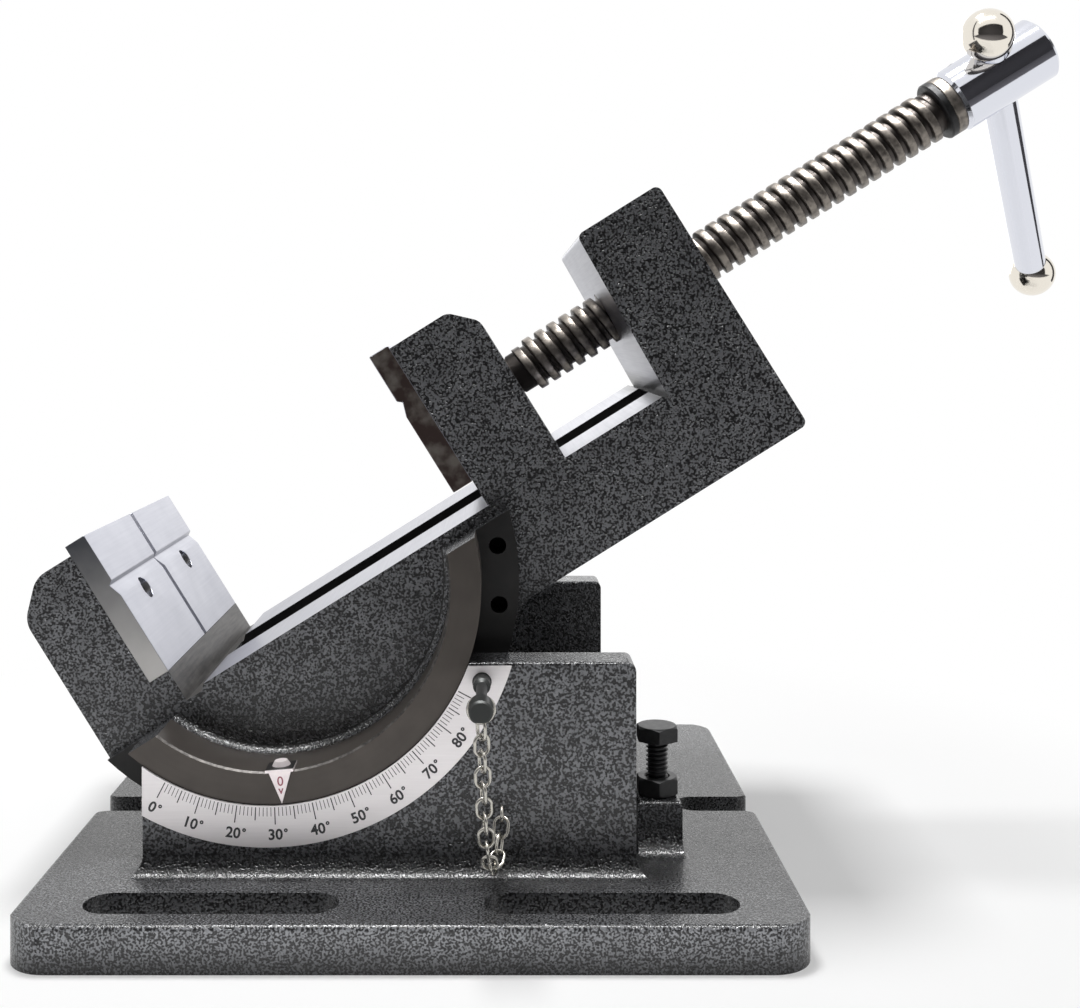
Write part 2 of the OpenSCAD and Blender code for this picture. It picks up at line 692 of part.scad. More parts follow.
module vise_body() {
  color([0.24, 0.24, 0.25]) on_trunnion() difference() {
    union() {
      across(body_front, body_rear) body_profile();
      across(flange_front, body_front + clear) half_disc(flange_r);
      across(body_rear - clear, flange_rear) half_disc(flange_r);
      across(wall_front, flange_front + clear) half_disc(journal_r);
      across(flange_rear - clear, wall_rear) half_disc(journal_r);
    }
    for (side = [0, 1]) translate([0, vise_mid_y, 0]) mirror([0, side, 0]) journal_pocket();
    across(body_front + cheek_t, body_rear - cheek_t) polygon([
      [slot_left, plate_under], [slot_right, plate_under], [slot_right, -far], [slot_left, -far]
    ]);
    translate([slot_left, vise_mid_y - rail_slot_w / 2, plate_under - clear])
      cube([slot_right - slot_left, rail_slot_w, bed_plate_t + 2 * clear]);
    bar_x(screw_d / 2 + screw_gap, upright_u - relief_w, upright_back + clear, vise_mid_y, screw_w);
    for (a = [0:index_step:index_last]) rotate([0, index_angle + a, 0]) {
      bar_y(index_hole_d / 2, flange_front - clear, body_front + cheek_t / 2, index_r, 0);
      bar_y(index_hole_d / 2, body_rear - cheek_t / 2, flange_rear + clear, index_r, 0);
    }
    jaw_screw_places() bar_x(jaw_screw_d / 2, fixed_plate_back - fixed_jaw_t / 2, fixed_u);
    rotate([0, tilt_zero, 0]) translate([0, wall_front + pointer_tab / 2, -journal_in_r - journal_t / 2])
      cylinder(r = pointer_screw_d / 2, h = journal_t);
  }
}

// The space inside one journal ring, with a bevel at its mouth and a fillet against the body's side
module journal_pocket() {
  mouth = bed_w / 2 + flange_t + side_gap + wall_t;
  intersection() {
    rotate([90, 0, 0]) rotate_extrude() difference() {
      polygon([
        [0, bed_w / 2], [journal_in_r, bed_w / 2], [journal_in_r, mouth - ring_bevel],
        [journal_in_r + ring_bevel + clear, mouth + clear], [0, mouth + clear]
      ]);
      difference() {
        translate([journal_in_r - journal_fillet_r, bed_w / 2]) square(journal_fillet_r);
        translate([journal_in_r - journal_fillet_r, bed_w / 2 + journal_fillet_r]) circle(journal_fillet_r);
      }
    }
    translate([-far / 2, -far, -far]) cube([far, far, far - rim_drop + clear]);
  }
}

// Where the two screws of a jaw plate stand
module jaw_screw_places() {
  for (y = [-1, 1]) translate([0, vise_mid_y + y * jaw_screw_pitch / 2, bed_top + jaw_screw_up]) children();
}

// A jaw plate with its face on the plane u = 0 and its body towards negative u
module jaw_plate() {
  head_depth = jaw_plate_t * 2 / 3;
  difference() {
    translate([-jaw_plate_t, body_front, jaw_plate_low]) cube([jaw_plate_t, bed_w, jaw_plate_h]);
    translate([0, 0, bed_top + v_groove_up]) across(-far, far) polygon([
      [clear, 0], [0, 0], [-v_groove_depth, -v_groove_w / 5], [0, -v_groove_w], [clear, -v_groove_w]
    ]);
    translate([0, vise_mid_y, 0]) rotate([0, 0, 45])
      cube([v_upright_depth * sqrt(2), v_upright_depth * sqrt(2), far], center = true);
    jaw_screw_places() {
      bar_x(jaw_screw_head_d / 2, -head_depth, clear);
      bar_x(jaw_screw_d / 2, -jaw_plate_t - clear, clear);
    }
  }
}

// Two socket screws that lie deep in a jaw plate's counterbores and reach into the block behind
module jaw_screws(reach_l) {
  head_depth = jaw_plate_t * 2 / 3;
  head_h = head_depth - jaw_screw_sink;
  head_r = jaw_screw_head_d / 2 - slide_gap / 2;
  jaw_screw_places() difference() {
    union() {
      bar_x(head_r, -head_depth, head_h - head_depth);
      bar_x(jaw_screw_d / 2, -reach_l, -head_depth + clear);
    }
    translate([-head_depth + head_h / 2, 0, 0]) rotate([0, 90, 0])
      cylinder(r = jaw_screw_d / 2 - slide_gap, h = head_h, $fn = 6);
  }
}

// Turns a jaw plate or its screws round to face the fixed jaw
module facing_fixed_jaw() {
  translate([movable_u, 2 * vise_mid_y, 0]) rotate([0, 0, 180]) children();
}

module fixed_jaw_plate() {
  color([0.72, 0.73, 0.75]) on_trunnion() translate([fixed_u, 0, 0]) jaw_plate();
}

module fixed_jaw_screws() {
  color([0.12, 0.12, 0.13]) on_trunnion() translate([fixed_u, 0, 0])
    jaw_screws(jaw_plate_t + fixed_jaw_t / 2);
}

module movable_jaw_plate() {
  color([0.72, 0.73, 0.75]) on_trunnion() facing_fixed_jaw() jaw_plate();
}

module movable_jaw_screws() {
  color([0.12, 0.12, 0.13]) on_trunnion() facing_fixed_jaw() jaw_screws(jaw_plate_t + movable_plate_screw_l);
}

// Where the two pins pass the groove in the screw's tip
module retaining_pin_places() {
  for (y = [-1, 1]) translate([groove_u, vise_mid_y + y * retaining_out, keeper_top]) children();
}

// Where the keeper screws stand, in line with the slide
module keeper_screw_places() {
  screw_u = movable_front + keeper_inset + keeper_screw_d;
  for (y = [-1, 1]) translate([screw_u, vise_mid_y + y * rail_slot_w / 3, keeper_top]) children();
}

// Movable jaw: a bevelled block on the rails with a tongue that runs down through the slot
module movable_jaw() {
  top = bed_top + movable_jaw_h;
  foot = bed_top + slide_gap;
  tongue_w = rail_slot_w - 2 * tongue_gap;
  bevel = jaw_back_bevel * 3 / 4;
  pin_top = screw_w + tip_r;
  color([0.24, 0.24, 0.25]) on_trunnion() difference() {
    union() {
      across(body_front, body_rear) cast_outline([
        [[movable_front, foot], 0], [[movable_front, top], 0], [[movable_back - bevel, top], movable_back_r],
        [[movable_back, top - bevel], movable_back_r], [[movable_back, foot], 0]
      ]);
      translate([movable_front + keeper_inset, vise_mid_y - tongue_w / 2, keeper_top])
        cube([movable_jaw_t - 2 * keeper_inset, tongue_w, foot - keeper_top + clear]);
    }
    bar_x(tip_r + screw_gap, tip_left - screw_gap, movable_back + clear, vise_mid_y, screw_w);
    retaining_pin_places() translate([0, 0, -clear])
      cylinder(r = retaining_pin_d / 2, h = pin_top - keeper_top + clear);
    keeper_screw_places() cylinder(r = keeper_screw_d / 2, h = keeper_screw_l);
    jaw_screw_places() bar_x(jaw_screw_d / 2, movable_front - clear, movable_front + movable_plate_screw_l);
  }
}

module screw_retaining_pins() {
  color([0.5, 0.5, 0.52]) on_trunnion() retaining_pin_places()
    cylinder(r = retaining_pin_d / 2, h = screw_w + tip_r - keeper_top);
}

// Keeper: a plate across the tongue that laps under both rails
module jaw_keeper() {
  keeper_w = rail_slot_w + 2 * keeper_lap;
  color([0.45, 0.45, 0.47]) on_trunnion() difference() {
    translate([movable_front + keeper_inset, vise_mid_y - keeper_w / 2, keeper_top - keeper_t])
      cube([movable_jaw_t - 2 * keeper_inset, keeper_w, keeper_t]);
    keeper_screw_places() translate([0, 0, -keeper_t - clear])
      cylinder(r = keeper_screw_d / 2, h = keeper_t + 2 * clear);
  }
}

module keeper_screws() {
  head_h = keeper_screw_d * 0.7;
  color([0.12, 0.12, 0.13]) on_trunnion() keeper_screw_places() {
    translate([0, 0, -keeper_t]) cylinder(r = keeper_screw_d / 2, h = keeper_t + keeper_screw_l);
    translate([0, 0, -keeper_t - head_h]) difference() {
      cylinder(r = keeper_screw_d * 0.85, h = head_h);
      translate([0, 0, -clear]) cylinder(r = keeper_screw_d / 2, h = clear + head_h / 2, $fn = 6);
    }
  }
}

// Lead screw: grooved tip in the jaw, plain neck, threaded length at its outer diameter, spigot in the head
module lead_screw() {
  r = screw_d / 2;
  lead_in = r - tip_r;
  groove_half = retaining_pin_d / 2 + slide_gap;
  color([0.3, 0.29, 0.28]) on_trunnion() translate([0, vise_mid_y, screw_w]) difference() {
    rotate([0, 90, 0]) rotate_extrude() polygon([
      [0, tip_left], [tip_r, tip_left], [tip_r, groove_u - groove_half], [groove_r, groove_u - groove_half],
      [groove_r, groove_u + groove_half], [tip_r, groove_u + groove_half], [tip_r, thread_left],
      [r, thread_left + lead_in], [r, thread_right], [tip_r, thread_right],
      [tip_r, cross_u - head_spigot_gap], [0, cross_u - head_spigot_gap]
    ]);
    across_head() cylinder(r = head_pin_d / 2, h = far, center = true);
  }
}

// Stands a pin through the spigot and the head, square to the bed
module across_head() {
  translate([head_pin_u, 0, 0]) children();
}

// Collar: a black washer-like ring between the thread's end and the head
module screw_collar() {
  edge = collar_l / 6;
  r = collar_d / 2;
  color([0.08, 0.08, 0.08]) on_trunnion() translate([0, vise_mid_y, screw_w]) rotate([0, 90, 0])
    rotate_extrude()
    polygon([
      [tip_r, thread_right], [r - edge, thread_right], [r, thread_right + edge], [r, head_left - edge],
      [r - edge, head_left], [tip_r, head_left]
    ]);
}

// Chrome head: a round barrel with a cross hole for the bar and a bore for the screw's spigot
module screw_head() {
  edge = head_d / 20;
  r = head_d / 2;
  color([0.85, 0.86, 0.88]) on_trunnion() translate([0, vise_mid_y, screw_w]) difference() {
    rotate([0, 90, 0]) rotate_extrude() polygon([
      [0, head_left], [r - edge, head_left], [r, head_left + edge], [r, head_right - edge],
      [r - edge, head_right], [0, head_right]
    ]);
    bar_x(tip_r, head_left - clear, cross_u - head_spigot_gap);
    across_head() cylinder(r = head_pin_d / 2, h = far, center = true);
    along_handle() cylinder(r = cross_hole_r, h = head_d * 2, center = true);
  }
}

module head_pin() {
  color([0.7, 0.71, 0.73]) on_trunnion() translate([0, vise_mid_y, screw_w])
    across_head() cylinder(r = head_pin_d / 2, h = head_d - clear, center = true);
}

// Stands the handle's axis, along Z, across the head and turns it about the screw
module along_handle() {
  translate([cross_u, 0, 0]) rotate([handle_turn, 0, 0]) children();
}

// The bar has slid down through the head until its upper ball rests on the hole's rim
module slid_down() {
  on_trunnion() translate([0, vise_mid_y, screw_w]) along_handle() translate([0, 0, -handle_slip]) children();
}

module handle_bar() {
  end = handle_len / 2 - ball_seat;
  neck = ball_d / 4;
  color([0.85, 0.86, 0.88]) slid_down() {
    translate([0, 0, -end]) cylinder(r = handle_d / 2, h = 2 * end);
    translate([0, 0, -handle_len / 2]) cylinder(r = neck / 2 + clear, h = handle_len);
  }
}

// A ball drilled for the bar's spigot, with a flat where it meets the bar's shoulder
module handle_ball(side) {
  neck = ball_d / 4;
  color([0.8, 0.78, 0.74]) slid_down() translate([0, 0, side * handle_len / 2]) scale_z(side) difference() {
    sphere(r = ball_d / 2);
    translate([-far / 2, -far / 2, -far - ball_seat]) cube(far);
    translate([0, 0, -ball_d]) cylinder(r = neck / 2 + clear, h = ball_d);
  }
}

// Keeps a shape as it is, or turns it end for end
module scale_z(side) {
  rotate([side > 0 ? 0 : 180, 0, 0]) children();
}

module handle_ball_upper() {
  handle_ball(1);
}

module handle_ball_lower() {
  handle_ball(-1);
}

// Pointer: a sheet blade on the front journal ring, under a tab that lies on the ring's inside and overhangs it
module angle_pointer() {
  blade_w = pointer_w - clear;
  tab_front = wall_front - pointer_t - pointer_lip;
  color([0.9, 0.9, 0.9]) on_trunnion() rotate([0, tilt_zero, 0]) {
    across(wall_front - pointer_t, wall_front) polygon([
      [-blade_w / 2, pointer_t - pointer_seat], [blade_w / 2, pointer_t - pointer_seat],
      [0, tip_gap - journal_r]
    ]);
    difference() {
      translate([-pointer_w / 2, tab_front, -pointer_seat])
        cube([pointer_w, wall_front + pointer_tab - tab_front, pointer_t]);
      translate([0, wall_front + pointer_tab / 2, -pointer_seat - clear])
        cylinder(r = pointer_screw_d / 2, h = far);
    }
  }
}

module pointer_screw() {
  head_h = pointer_screw_d / 2;
  color([0.8, 0.8, 0.82]) on_trunnion() rotate([0, tilt_zero, 0])
    translate([0, wall_front + pointer_tab / 2, -pointer_seat]) {
      translate([0, 0, -journal_t / 2 + pointer_t]) cylinder(r = pointer_screw_d / 2, h = journal_t / 2);
      translate([0, 0, pointer_t]) cylinder(r1 = pointer_screw_d, r2 = pointer_screw_d * 0.7, h = head_h);
    }
}

base_casting();
scale_plate();
stop_bolt();
stop_jam_nut();
index_pin();
pin_ring();
pin_chain();
chain_eye();
tilt_lock_bolt_left();
tilt_lock_bolt_right();
vise_body();
fixed_jaw_plate();
fixed_jaw_screws();
movable_jaw();
movable_jaw_plate();
movable_jaw_screws();
jaw_keeper();
keeper_screws();
screw_retaining_pins();
lead_screw();
screw_collar();
screw_head();
head_pin();
handle_bar();
handle_ball_upper();
handle_ball_lower();
angle_pointer();
pointer_screw();
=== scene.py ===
import json
from math import cos, pi, radians, sin

import bmesh
import bpy
import numpy as np
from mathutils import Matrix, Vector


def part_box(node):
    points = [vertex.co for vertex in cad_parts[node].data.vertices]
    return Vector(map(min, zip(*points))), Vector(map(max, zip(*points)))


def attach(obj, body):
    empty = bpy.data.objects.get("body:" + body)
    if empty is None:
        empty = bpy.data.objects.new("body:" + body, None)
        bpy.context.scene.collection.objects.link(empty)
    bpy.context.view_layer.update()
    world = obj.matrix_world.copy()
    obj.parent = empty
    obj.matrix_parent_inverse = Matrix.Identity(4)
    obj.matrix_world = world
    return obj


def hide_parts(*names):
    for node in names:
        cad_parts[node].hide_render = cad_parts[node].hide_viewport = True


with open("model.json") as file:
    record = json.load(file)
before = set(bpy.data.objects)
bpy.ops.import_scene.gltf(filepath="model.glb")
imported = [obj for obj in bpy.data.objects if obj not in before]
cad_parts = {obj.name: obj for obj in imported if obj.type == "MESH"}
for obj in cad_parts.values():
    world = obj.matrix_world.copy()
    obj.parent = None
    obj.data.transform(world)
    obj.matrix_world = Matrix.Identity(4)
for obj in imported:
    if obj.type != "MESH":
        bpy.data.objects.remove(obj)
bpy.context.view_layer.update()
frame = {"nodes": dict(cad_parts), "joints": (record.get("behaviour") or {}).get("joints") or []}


# The base is one grey iron casting: a slotted plate with two saddle walls and a boss for the stop bolt.
# It is sand cast, fettled, and sprayed all over with a hammered enamel.
MM = 0.001
WELD, FLAT, SHARP = 0.002 * MM, radians(0.3), radians(32)


def linear(hex_colour):
    """An sRGB hex colour as linear RGBA: c / 12.92 up to 0.04045, else ((c + 0.055) / 1.055) ** 2.4."""
    srgb = np.array([int(hex_colour[i:i + 2], 16) for i in (1, 3, 5)]) / 255
    return (*np.where(srgb <= 0.04045, srgb / 12.92, ((srgb + 0.055) / 1.055) ** 2.4), 1)


def add(tree, kind, inputs=None, **settings):
    """Adds one node. Settings are its own properties; inputs maps a socket to a value or to an output."""
    made = tree.nodes.new(kind)
    for name, value in settings.items():
        setattr(made, name, value)
    for socket, value in (inputs or {}).items():
        if isinstance(value, bpy.types.NodeSocket):
            tree.links.new(value, made.inputs[socket])
        else:
            made.inputs[socket].default_value = value
    return made


def start_finish(name, **constants):
    """A new material, its tree and its Principled shader, with the shader's constant sockets set."""
    material = bpy.data.materials.new(name)
    material.use_nodes = True
    tree = material.node_tree
    shader = tree.nodes["Principled BSDF"]
    for socket, value in constants.items():
        shader.inputs[socket.replace("_", " ")].default_value = value
    return material, tree, shader


def feed(tree, shader, **outputs):
    """Links node outputs to the shader's sockets of these names."""
    for socket, output in outputs.items():
        tree.links.new(output, shader.inputs[socket.replace("_", " ")])


def linked(name, data):
    """A new object at the origin, linked to the scene."""
    made = bpy.data.objects.new(name, data)
    bpy.context.scene.collection.objects.link(made)
    return made


def vertex_points(mesh):
    """The vertices of a mesh as an array of (x, y, z)."""
    points = np.empty(len(mesh.vertices) * 3, np.float32)
    mesh.vertices.foreach_get("co", points)
    return points.reshape(-1, 3)


def merged_copy(node_name, piece_name, body, slot, *finishes, edge):
    """A CAD node as one welded skin: its loose triangles are merged, flat faces joined, and every corner
    sharper than 32 degrees is rounded to the width `edge` by a Bevel modifier."""
    source = frame["nodes"][node_name].data
    corners = np.empty(len(source.loops), np.int32)
    source.loops.foreach_get("vertex_index", corners)
    mesh = bpy.data.meshes.new(piece_name)
    mesh.from_pydata(vertex_points(source), [], corners.reshape(-1, 3))
    welded = bmesh.new()
    welded.from_mesh(mesh)
    bmesh.ops.remove_doubles(welded, verts=welded.verts, dist=WELD)
    bmesh.ops.dissolve_degenerate(welded, dist=WELD, edges=welded.edges)
    bmesh.ops.dissolve_limit(welded, angle_limit=FLAT, verts=welded.verts, edges=welded.edges)
    welded.to_mesh(mesh)
    welded.free()
    mesh.polygons.foreach_set("use_smooth", np.ones(len(mesh.polygons), bool))
    for finish in finishes:
        mesh.materials.append(finish)
    piece = linked(piece_name, mesh)
    rounding = piece.modifiers.new("rounded_edges", "BEVEL")
    rounding.limit_method, rounding.angle_limit = "ANGLE", SHARP
    rounding.width, rounding.segments = edge, 3
    rounding.use_clamp_overlap = True
    rounding.miter_outer = "MITER_ARC"
    piece.modifiers.new("even_shading", "WEIGHTED_NORMAL").keep_sharp = True
    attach(piece, body)
    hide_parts(node_name)
    return piece


# Sockets of a Mix node in its colour mode: the factor, the two colours and the result.
FACTOR, FIRST, SECOND, MIXED = 0, 6, 7, 2

# Hammered enamel: the paint gathers into small pale islands on a charcoal ground and dries with a high gloss,
# so the eye sees a fine salt-and-pepper mottle about a millimetre across that sparkles on every rounded edge.
enamel, tree, shader = start_finish("hammered_enamel_on_cast_iron")
place = add(tree, "ShaderNodeTexCoord").outputs["Object"]
ISLAND = 0.6 * MM
flow = add(tree, "ShaderNodeTexNoise", {"Vector": place, "Scale": 1 / ISLAND, "Detail": 0.5,
                                        "Distortion": 0.25}).outputs["Fac"]
islands = add(tree, "ShaderNodeMapRange", {"Value": flow, "From Min": 0.40, "From Max": 0.62},
              interpolation_type="SMOOTHSTEP").outputs["Result"]
cloud = add(tree, "ShaderNodeTexNoise", {"Vector": place, "Scale": 1 / (8 * MM),
                                         "Detail": 2.0}).outputs["Fac"]
strength = add(tree, "ShaderNodeMapRange", {"Value": cloud, "From Min": 0.3, "From Max": 0.7, "To Min": 0.7,
                                            "To Max": 1.0}).outputs["Result"]
pale = add(tree, "ShaderNodeMath", {0: islands, 1: strength}, operation="MULTIPLY").outputs[0]
colour = add(tree, "ShaderNodeMix", {FACTOR: pale, FIRST: linear("#1c1c1d"), SECOND: linear("#6b6c6f")},
             data_type="RGBA").outputs[MIXED]
gloss = add(tree, "ShaderNodeMapRange", {"Value": pale, "To Min": 0.26, "To Max": 0.16}).outputs["Result"]
bump = add(tree, "ShaderNodeBump", {"Height": pale, "Strength": 0.9, "Distance": 0.12 * MM}).outputs["Normal"]
feed(tree, shader, Base_Color=colour, Roughness=gloss, Normal=bump)

merged_copy("base_casting", "base_casting_enamelled", "base", "cast_enamel", enamel, edge=1.0 * MM)


# The scale is a curved strip of printed aluminium sheet, glued to the front wall round the saddle.
# It has one mark for each degree; 0, 10 ... 80 are printed under the long marks, centred on them.
tilt = next(joint for joint in frame["joints"] if joint["name"] == "tilt")
AXIS = np.array(tilt["pos_m"])
TILT = -radians(tilt["range_deg"][0])
SCALE_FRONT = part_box("scale_plate")[0].y
SADDLE_R, ZERO_AT, INK = 57.75 * MM, radians(-27.7), 0.03 * MM
MARK_GAP, LONG_MARK, MIDDLE_MARK, SHORT_MARK = 0.35 * MM, 4.6 * MM, 3.5 * MM, 2.4 * MM
BOLD_LINE, FINE_LINE = 0.28 * MM, 0.18 * MM


def scale_point(angle, radius, out):
    """A place on the scale, `angle` from straight down towards +X and `out` of the sheet's face:
    (axis x + radius sin(angle), front - out, axis z - radius cos(angle))."""
    return np.stack([AXIS[0] + radius * np.sin(angle), SCALE_FRONT - out + 0 * angle,
                     AXIS[2] - radius * np.cos(angle)], -1)


def printed_marks(angles, lengths, widths):
    """Bars on the scale, one closed box each: eight corners from (angle -+ width / 2r, inner or outer radius,
    sunk in or proud of the sheet), all marks at once."""
    inner = SADDLE_R + MARK_GAP
    half = widths / (2 * inner)
    corners = [scale_point(angles + side * half, inner + far * lengths, INK * (2 * proud - 1))
               for proud in (0, 1) for far in (0, 1) for side in (-1, 1)]
    box = np.array([[0, 1, 3, 2], [4, 6, 7, 5], [0, 4, 5, 1], [2, 3, 7, 6], [0, 2, 6, 4], [1, 5, 7, 3]])
    points = np.stack(corners, 1).reshape(-1, 3)
    faces = (box[None] + 8 * np.arange(len(angles))[:, None, None]).reshape(-1, 4)
    return points, faces


def new_piece(name, points, faces, body, material, smooth_angle=None):
    """An object at the origin from point and face arrays, with doubles merged and faces outwards."""
    mesh = bpy.data.meshes.new(name)
    mesh.from_pydata(points, [], faces)
    welded = bmesh.new()
    welded.from_mesh(mesh)
    bmesh.ops.remove_doubles(welded, verts=welded.verts, dist=WELD / 2)
    bmesh.ops.recalc_face_normals(welded, faces=welded.faces)
    welded.to_mesh(mesh)
    welded.free()
    if smooth_angle:
        mesh.polygons.foreach_set("use_smooth", np.ones(len(mesh.polygons), bool))
        mesh.set_sharp_from_angle(angle=radians(smooth_angle))
    mesh.materials.append(material)
    piece = linked(name, mesh)
    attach(piece, body)
    return piece


def finish_nodes(finish, *names):
    """Gives CAD nodes one finish in place of their own."""
    for name in names:
        materials = frame["nodes"][name].data.materials
        materials.clear()
        materials.append(finish)


# Satin anodised sheet: near white, with faint lines from rolling and a soft even gloss.
sheet, tree, shader = start_finish("satin_anodised_aluminium_sheet", Metallic=0.15, Specular_IOR_Level=0.4)
place = add(tree, "ShaderNodeTexCoord").outputs["Object"]
rolled = add(tree, "ShaderNodeMapping", {"Vector": place,
                                         "Scale": (1 / (18 * MM), 1, 1 / (0.5 * MM))}).outputs[0]
lines = add(tree, "ShaderNodeTexNoise", {"Vector": rolled, "Scale": 1.0, "Detail": 3.0}).outputs["Fac"]
colour = add(tree, "ShaderNodeMix", {FACTOR: lines, FIRST: linear("#d2cecf"), SECOND: linear("#dfdbdc")},
             data_type="RGBA").outputs[MIXED]
gloss = add(tree, "ShaderNodeMapRange", {"Value": lines, "To Min": 0.36, "To Max": 0.5}).outputs["Result"]
feed(tree, shader, Base_Color=colour, Roughness=gloss)
finish_nodes(sheet, "scale_plate")

# Screen printing ink: a thin matt black film that is a little uneven where the mesh let less through.
ink, tree, shader = start_finish("screen_printed_black_ink", Roughness=0.55)
place = add(tree, "ShaderNodeTexCoord").outputs["Object"]
cover = add(tree, "ShaderNodeTexNoise", {"Vector": place, "Scale": 1 / (0.8 * MM),
                                         "Detail": 2.0}).outputs["Fac"]
colour = add(tree, "ShaderNodeMix", {FACTOR: cover, FIRST: linear("#171719"), SECOND: linear("#333236")},
             data_type="RGBA").outputs[MIXED]
feed(tree, shader, Base_Color=colour)

degrees = np.arange(0, 91)
tens, fives = degrees % 10 == 0, degrees % 5 == 0
mark_lengths = np.where(tens, LONG_MARK, np.where(fives, MIDDLE_MARK, SHORT_MARK))
mark_points, mark_faces = printed_marks(ZERO_AT + np.radians(degrees), mark_lengths,
                                        np.where(fives, BOLD_LINE, FINE_LINE))
new_piece("scale_marks", mark_points, mark_faces, "base", ink)

# The degree sign's right and down measures are from the upper right corner of the last digit to its middle.
NUMBER_R, CAPITAL = SADDLE_R + 7.6 * MM, 0.7
DIGIT_H, DIGIT_BOLD = 3.0 * MM, 0.11 * MM
SIGN_H, SIGN_BOLD, SIGN_RIGHT, SIGN_DOWN = 1.05 * MM, 0.05 * MM, 0.85 * MM, 0.5 * MM


def flat_words(words, height, bold):
    """Text as a thin solid mesh in the XY plane, centred, `height` tall, with strokes `bold` wider each side.
    Capitals stand about 0.7 of a font's size; the mesh is then scaled to `height`."""
    curve = bpy.data.curves.new("letters", "FONT")
    curve.body, curve.align_x = words, "CENTER"
    curve.size, curve.extrude, curve.offset, curve.resolution_u = height / CAPITAL, INK, bold, 3
    letters = linked("letters", curve)
    bpy.context.view_layer.update()
    mesh = bpy.data.meshes.new_from_object(letters.evaluated_get(bpy.context.evaluated_depsgraph_get()))
    bpy.data.objects.remove(letters)
    points = vertex_points(mesh)
    points[:, :2] -= (points[:, :2].min(0) + points[:, :2].max(0)) / 2
    points[:, :2] *= height / np.ptp(points[:, 1])
    faces = [tuple(face.vertices) for face in mesh.polygons]
    bpy.data.meshes.remove(mesh)
    return points, faces


def set_round(flat, angle, radius, out):
    """Flat text stood on the scale's plane: middle + x along + y up - z Y, with its middle at `angle` and
    `radius`, along = (cos, 0, sin) of the angle, and up = (-sin, 0, cos), which points at the tilt axis."""
    middle = scale_point(np.array(angle), np.array(radius), out)
    along, up = np.array([cos(angle), 0, sin(angle)]), np.array([-sin(angle), 0, cos(angle)])
    return middle + flat[:, :1] * along + flat[:, 1:2] * up + flat[:, 2:] * np.array([0, -1, 0])


number_points, number_faces, count = [], [], 0
for number in range(0, 90, 10):
    digits, digit_faces = flat_words(str(number), DIGIT_H, DIGIT_BOLD)
    sign, sign_faces = flat_words("\u00b0", SIGN_H, SIGN_BOLD)
    sign[:, :2] += (np.max(digits[:, 0]) + SIGN_RIGHT, DIGIT_H / 2 - SIGN_DOWN)
    for flat, faces in ((digits, digit_faces), (sign, sign_faces)):
        number_points.append(set_round(flat, ZERO_AT + radians(number), NUMBER_R, 0.0))
        number_faces += [tuple(v + count for v in face) for face in faces]
        count += len(flat)
new_piece("scale_numbers", np.concatenate(number_points), number_faces, "base", ink)


# The stop bolt stands in the boss and holds the bed level; a jam nut locks it.
# Two lock bolts of the same kind go through the rear wall. All are cold headed, rolled and blacked by oxide.
THREAD_PITCH, THREAD_DEPTH, EASE = 1.27 * MM, 0.6 * MM, 0.1 * MM
BOLT_R, TIP_H, TIP_SHARE = 3.15 * MM, 1.5 * MM, 0.35
HEX_R, HEAD_H = 5.5 * MM, 4.2 * MM
FACE_R, UNDER_R, UNDER_H, CORNER_H = HEX_R * 0.9, HEX_R * 1.02, 0.12 * MM, 0.72 * MM
# The turned chamfer of a head or nut, from its flat end outwards and along.
chamfer = np.linspace(0, 1, 6)
CHAMFER_R, CHAMFER_H = HEX_R * (0.97 + 0.2 * chamfer), 0.66 * MM * chamfer


def turned(radii, heights, columns, flats=0):
    """Points of a surface turned about Z: rows follow (radius, height), columns go round. With `flats`, no
    row is wider than a hexagon of that inner radius with a corner at -Y, R(a) = flats / cos(a - b), where b
    is the angle of the nearest flat."""
    around = np.linspace(0, 2 * pi, columns, endpoint=False)
    rows = np.repeat(np.array(radii, float)[:, None], columns, 1)
    if flats:
        folded = (around + radians(90)) % radians(60) - radians(30)
        rows = np.minimum(rows, flats / np.cos(folded))
    return np.stack([rows * np.cos(around), rows * np.sin(around),
                     np.repeat(np.array(heights, float)[:, None], columns, 1)], -1)


def helical_rib(core, crest, low, high, pitch, root_share, crest_share, columns):
    """A screw thread as a rib along a helix: (r cos 2 pi t, r sin 2 pi t, low + pitch t + s) at turn t.
    Its section (r, s) is a trapezium with rounded shoulders from just inside `core` out to `crest`, and both
    ends taper to nothing over half a turn."""
    turns = (high - low) / pitch
    turn = np.linspace(0, turns, int(turns * columns))
    ends = np.clip(np.minimum(turn, turns - turn) / 0.5, 0, 1)
    sunk = core - 0.15 * (crest - core)
    reach = np.array([0, 0.8, 0.95, 1, 1, 0.95, 0.8, 0])
    half = np.array([root_share, crest_share, crest_share - 0.05, crest_share - 0.16]) / 2 * pitch
    across = np.concatenate([-half, half[::-1]])
    radius = sunk + (crest - sunk) * reach * ends[:, None]
    height = low + turn[:, None] * pitch + across * np.where(ends > 0, 1, 0)[:, None]
    height = np.clip(height, low, high)
    angle = (2 * pi * turn)[:, None] + 0 * across
    return np.stack([radius * np.cos(angle), radius * np.sin(angle), height], -1)


def skin(*grids):
    """Quads over grids whose columns close round; one face caps each end row."""
    points, faces, start = [], [], 0
    for grid in grids:
        rows, columns = grid.shape[:2]
        at = start + np.arange(rows * columns).reshape(rows, columns)
        nxt = np.roll(at, -1, 1)
        faces += np.stack([at[:-1], nxt[:-1], nxt[1:], at[1:]], -1).reshape(-1, 4).tolist()
        faces += [at[0].tolist(), at[-1].tolist()]
        points.append(grid.reshape(-1, 3))
        start += rows * columns
    return np.concatenate(points), faces


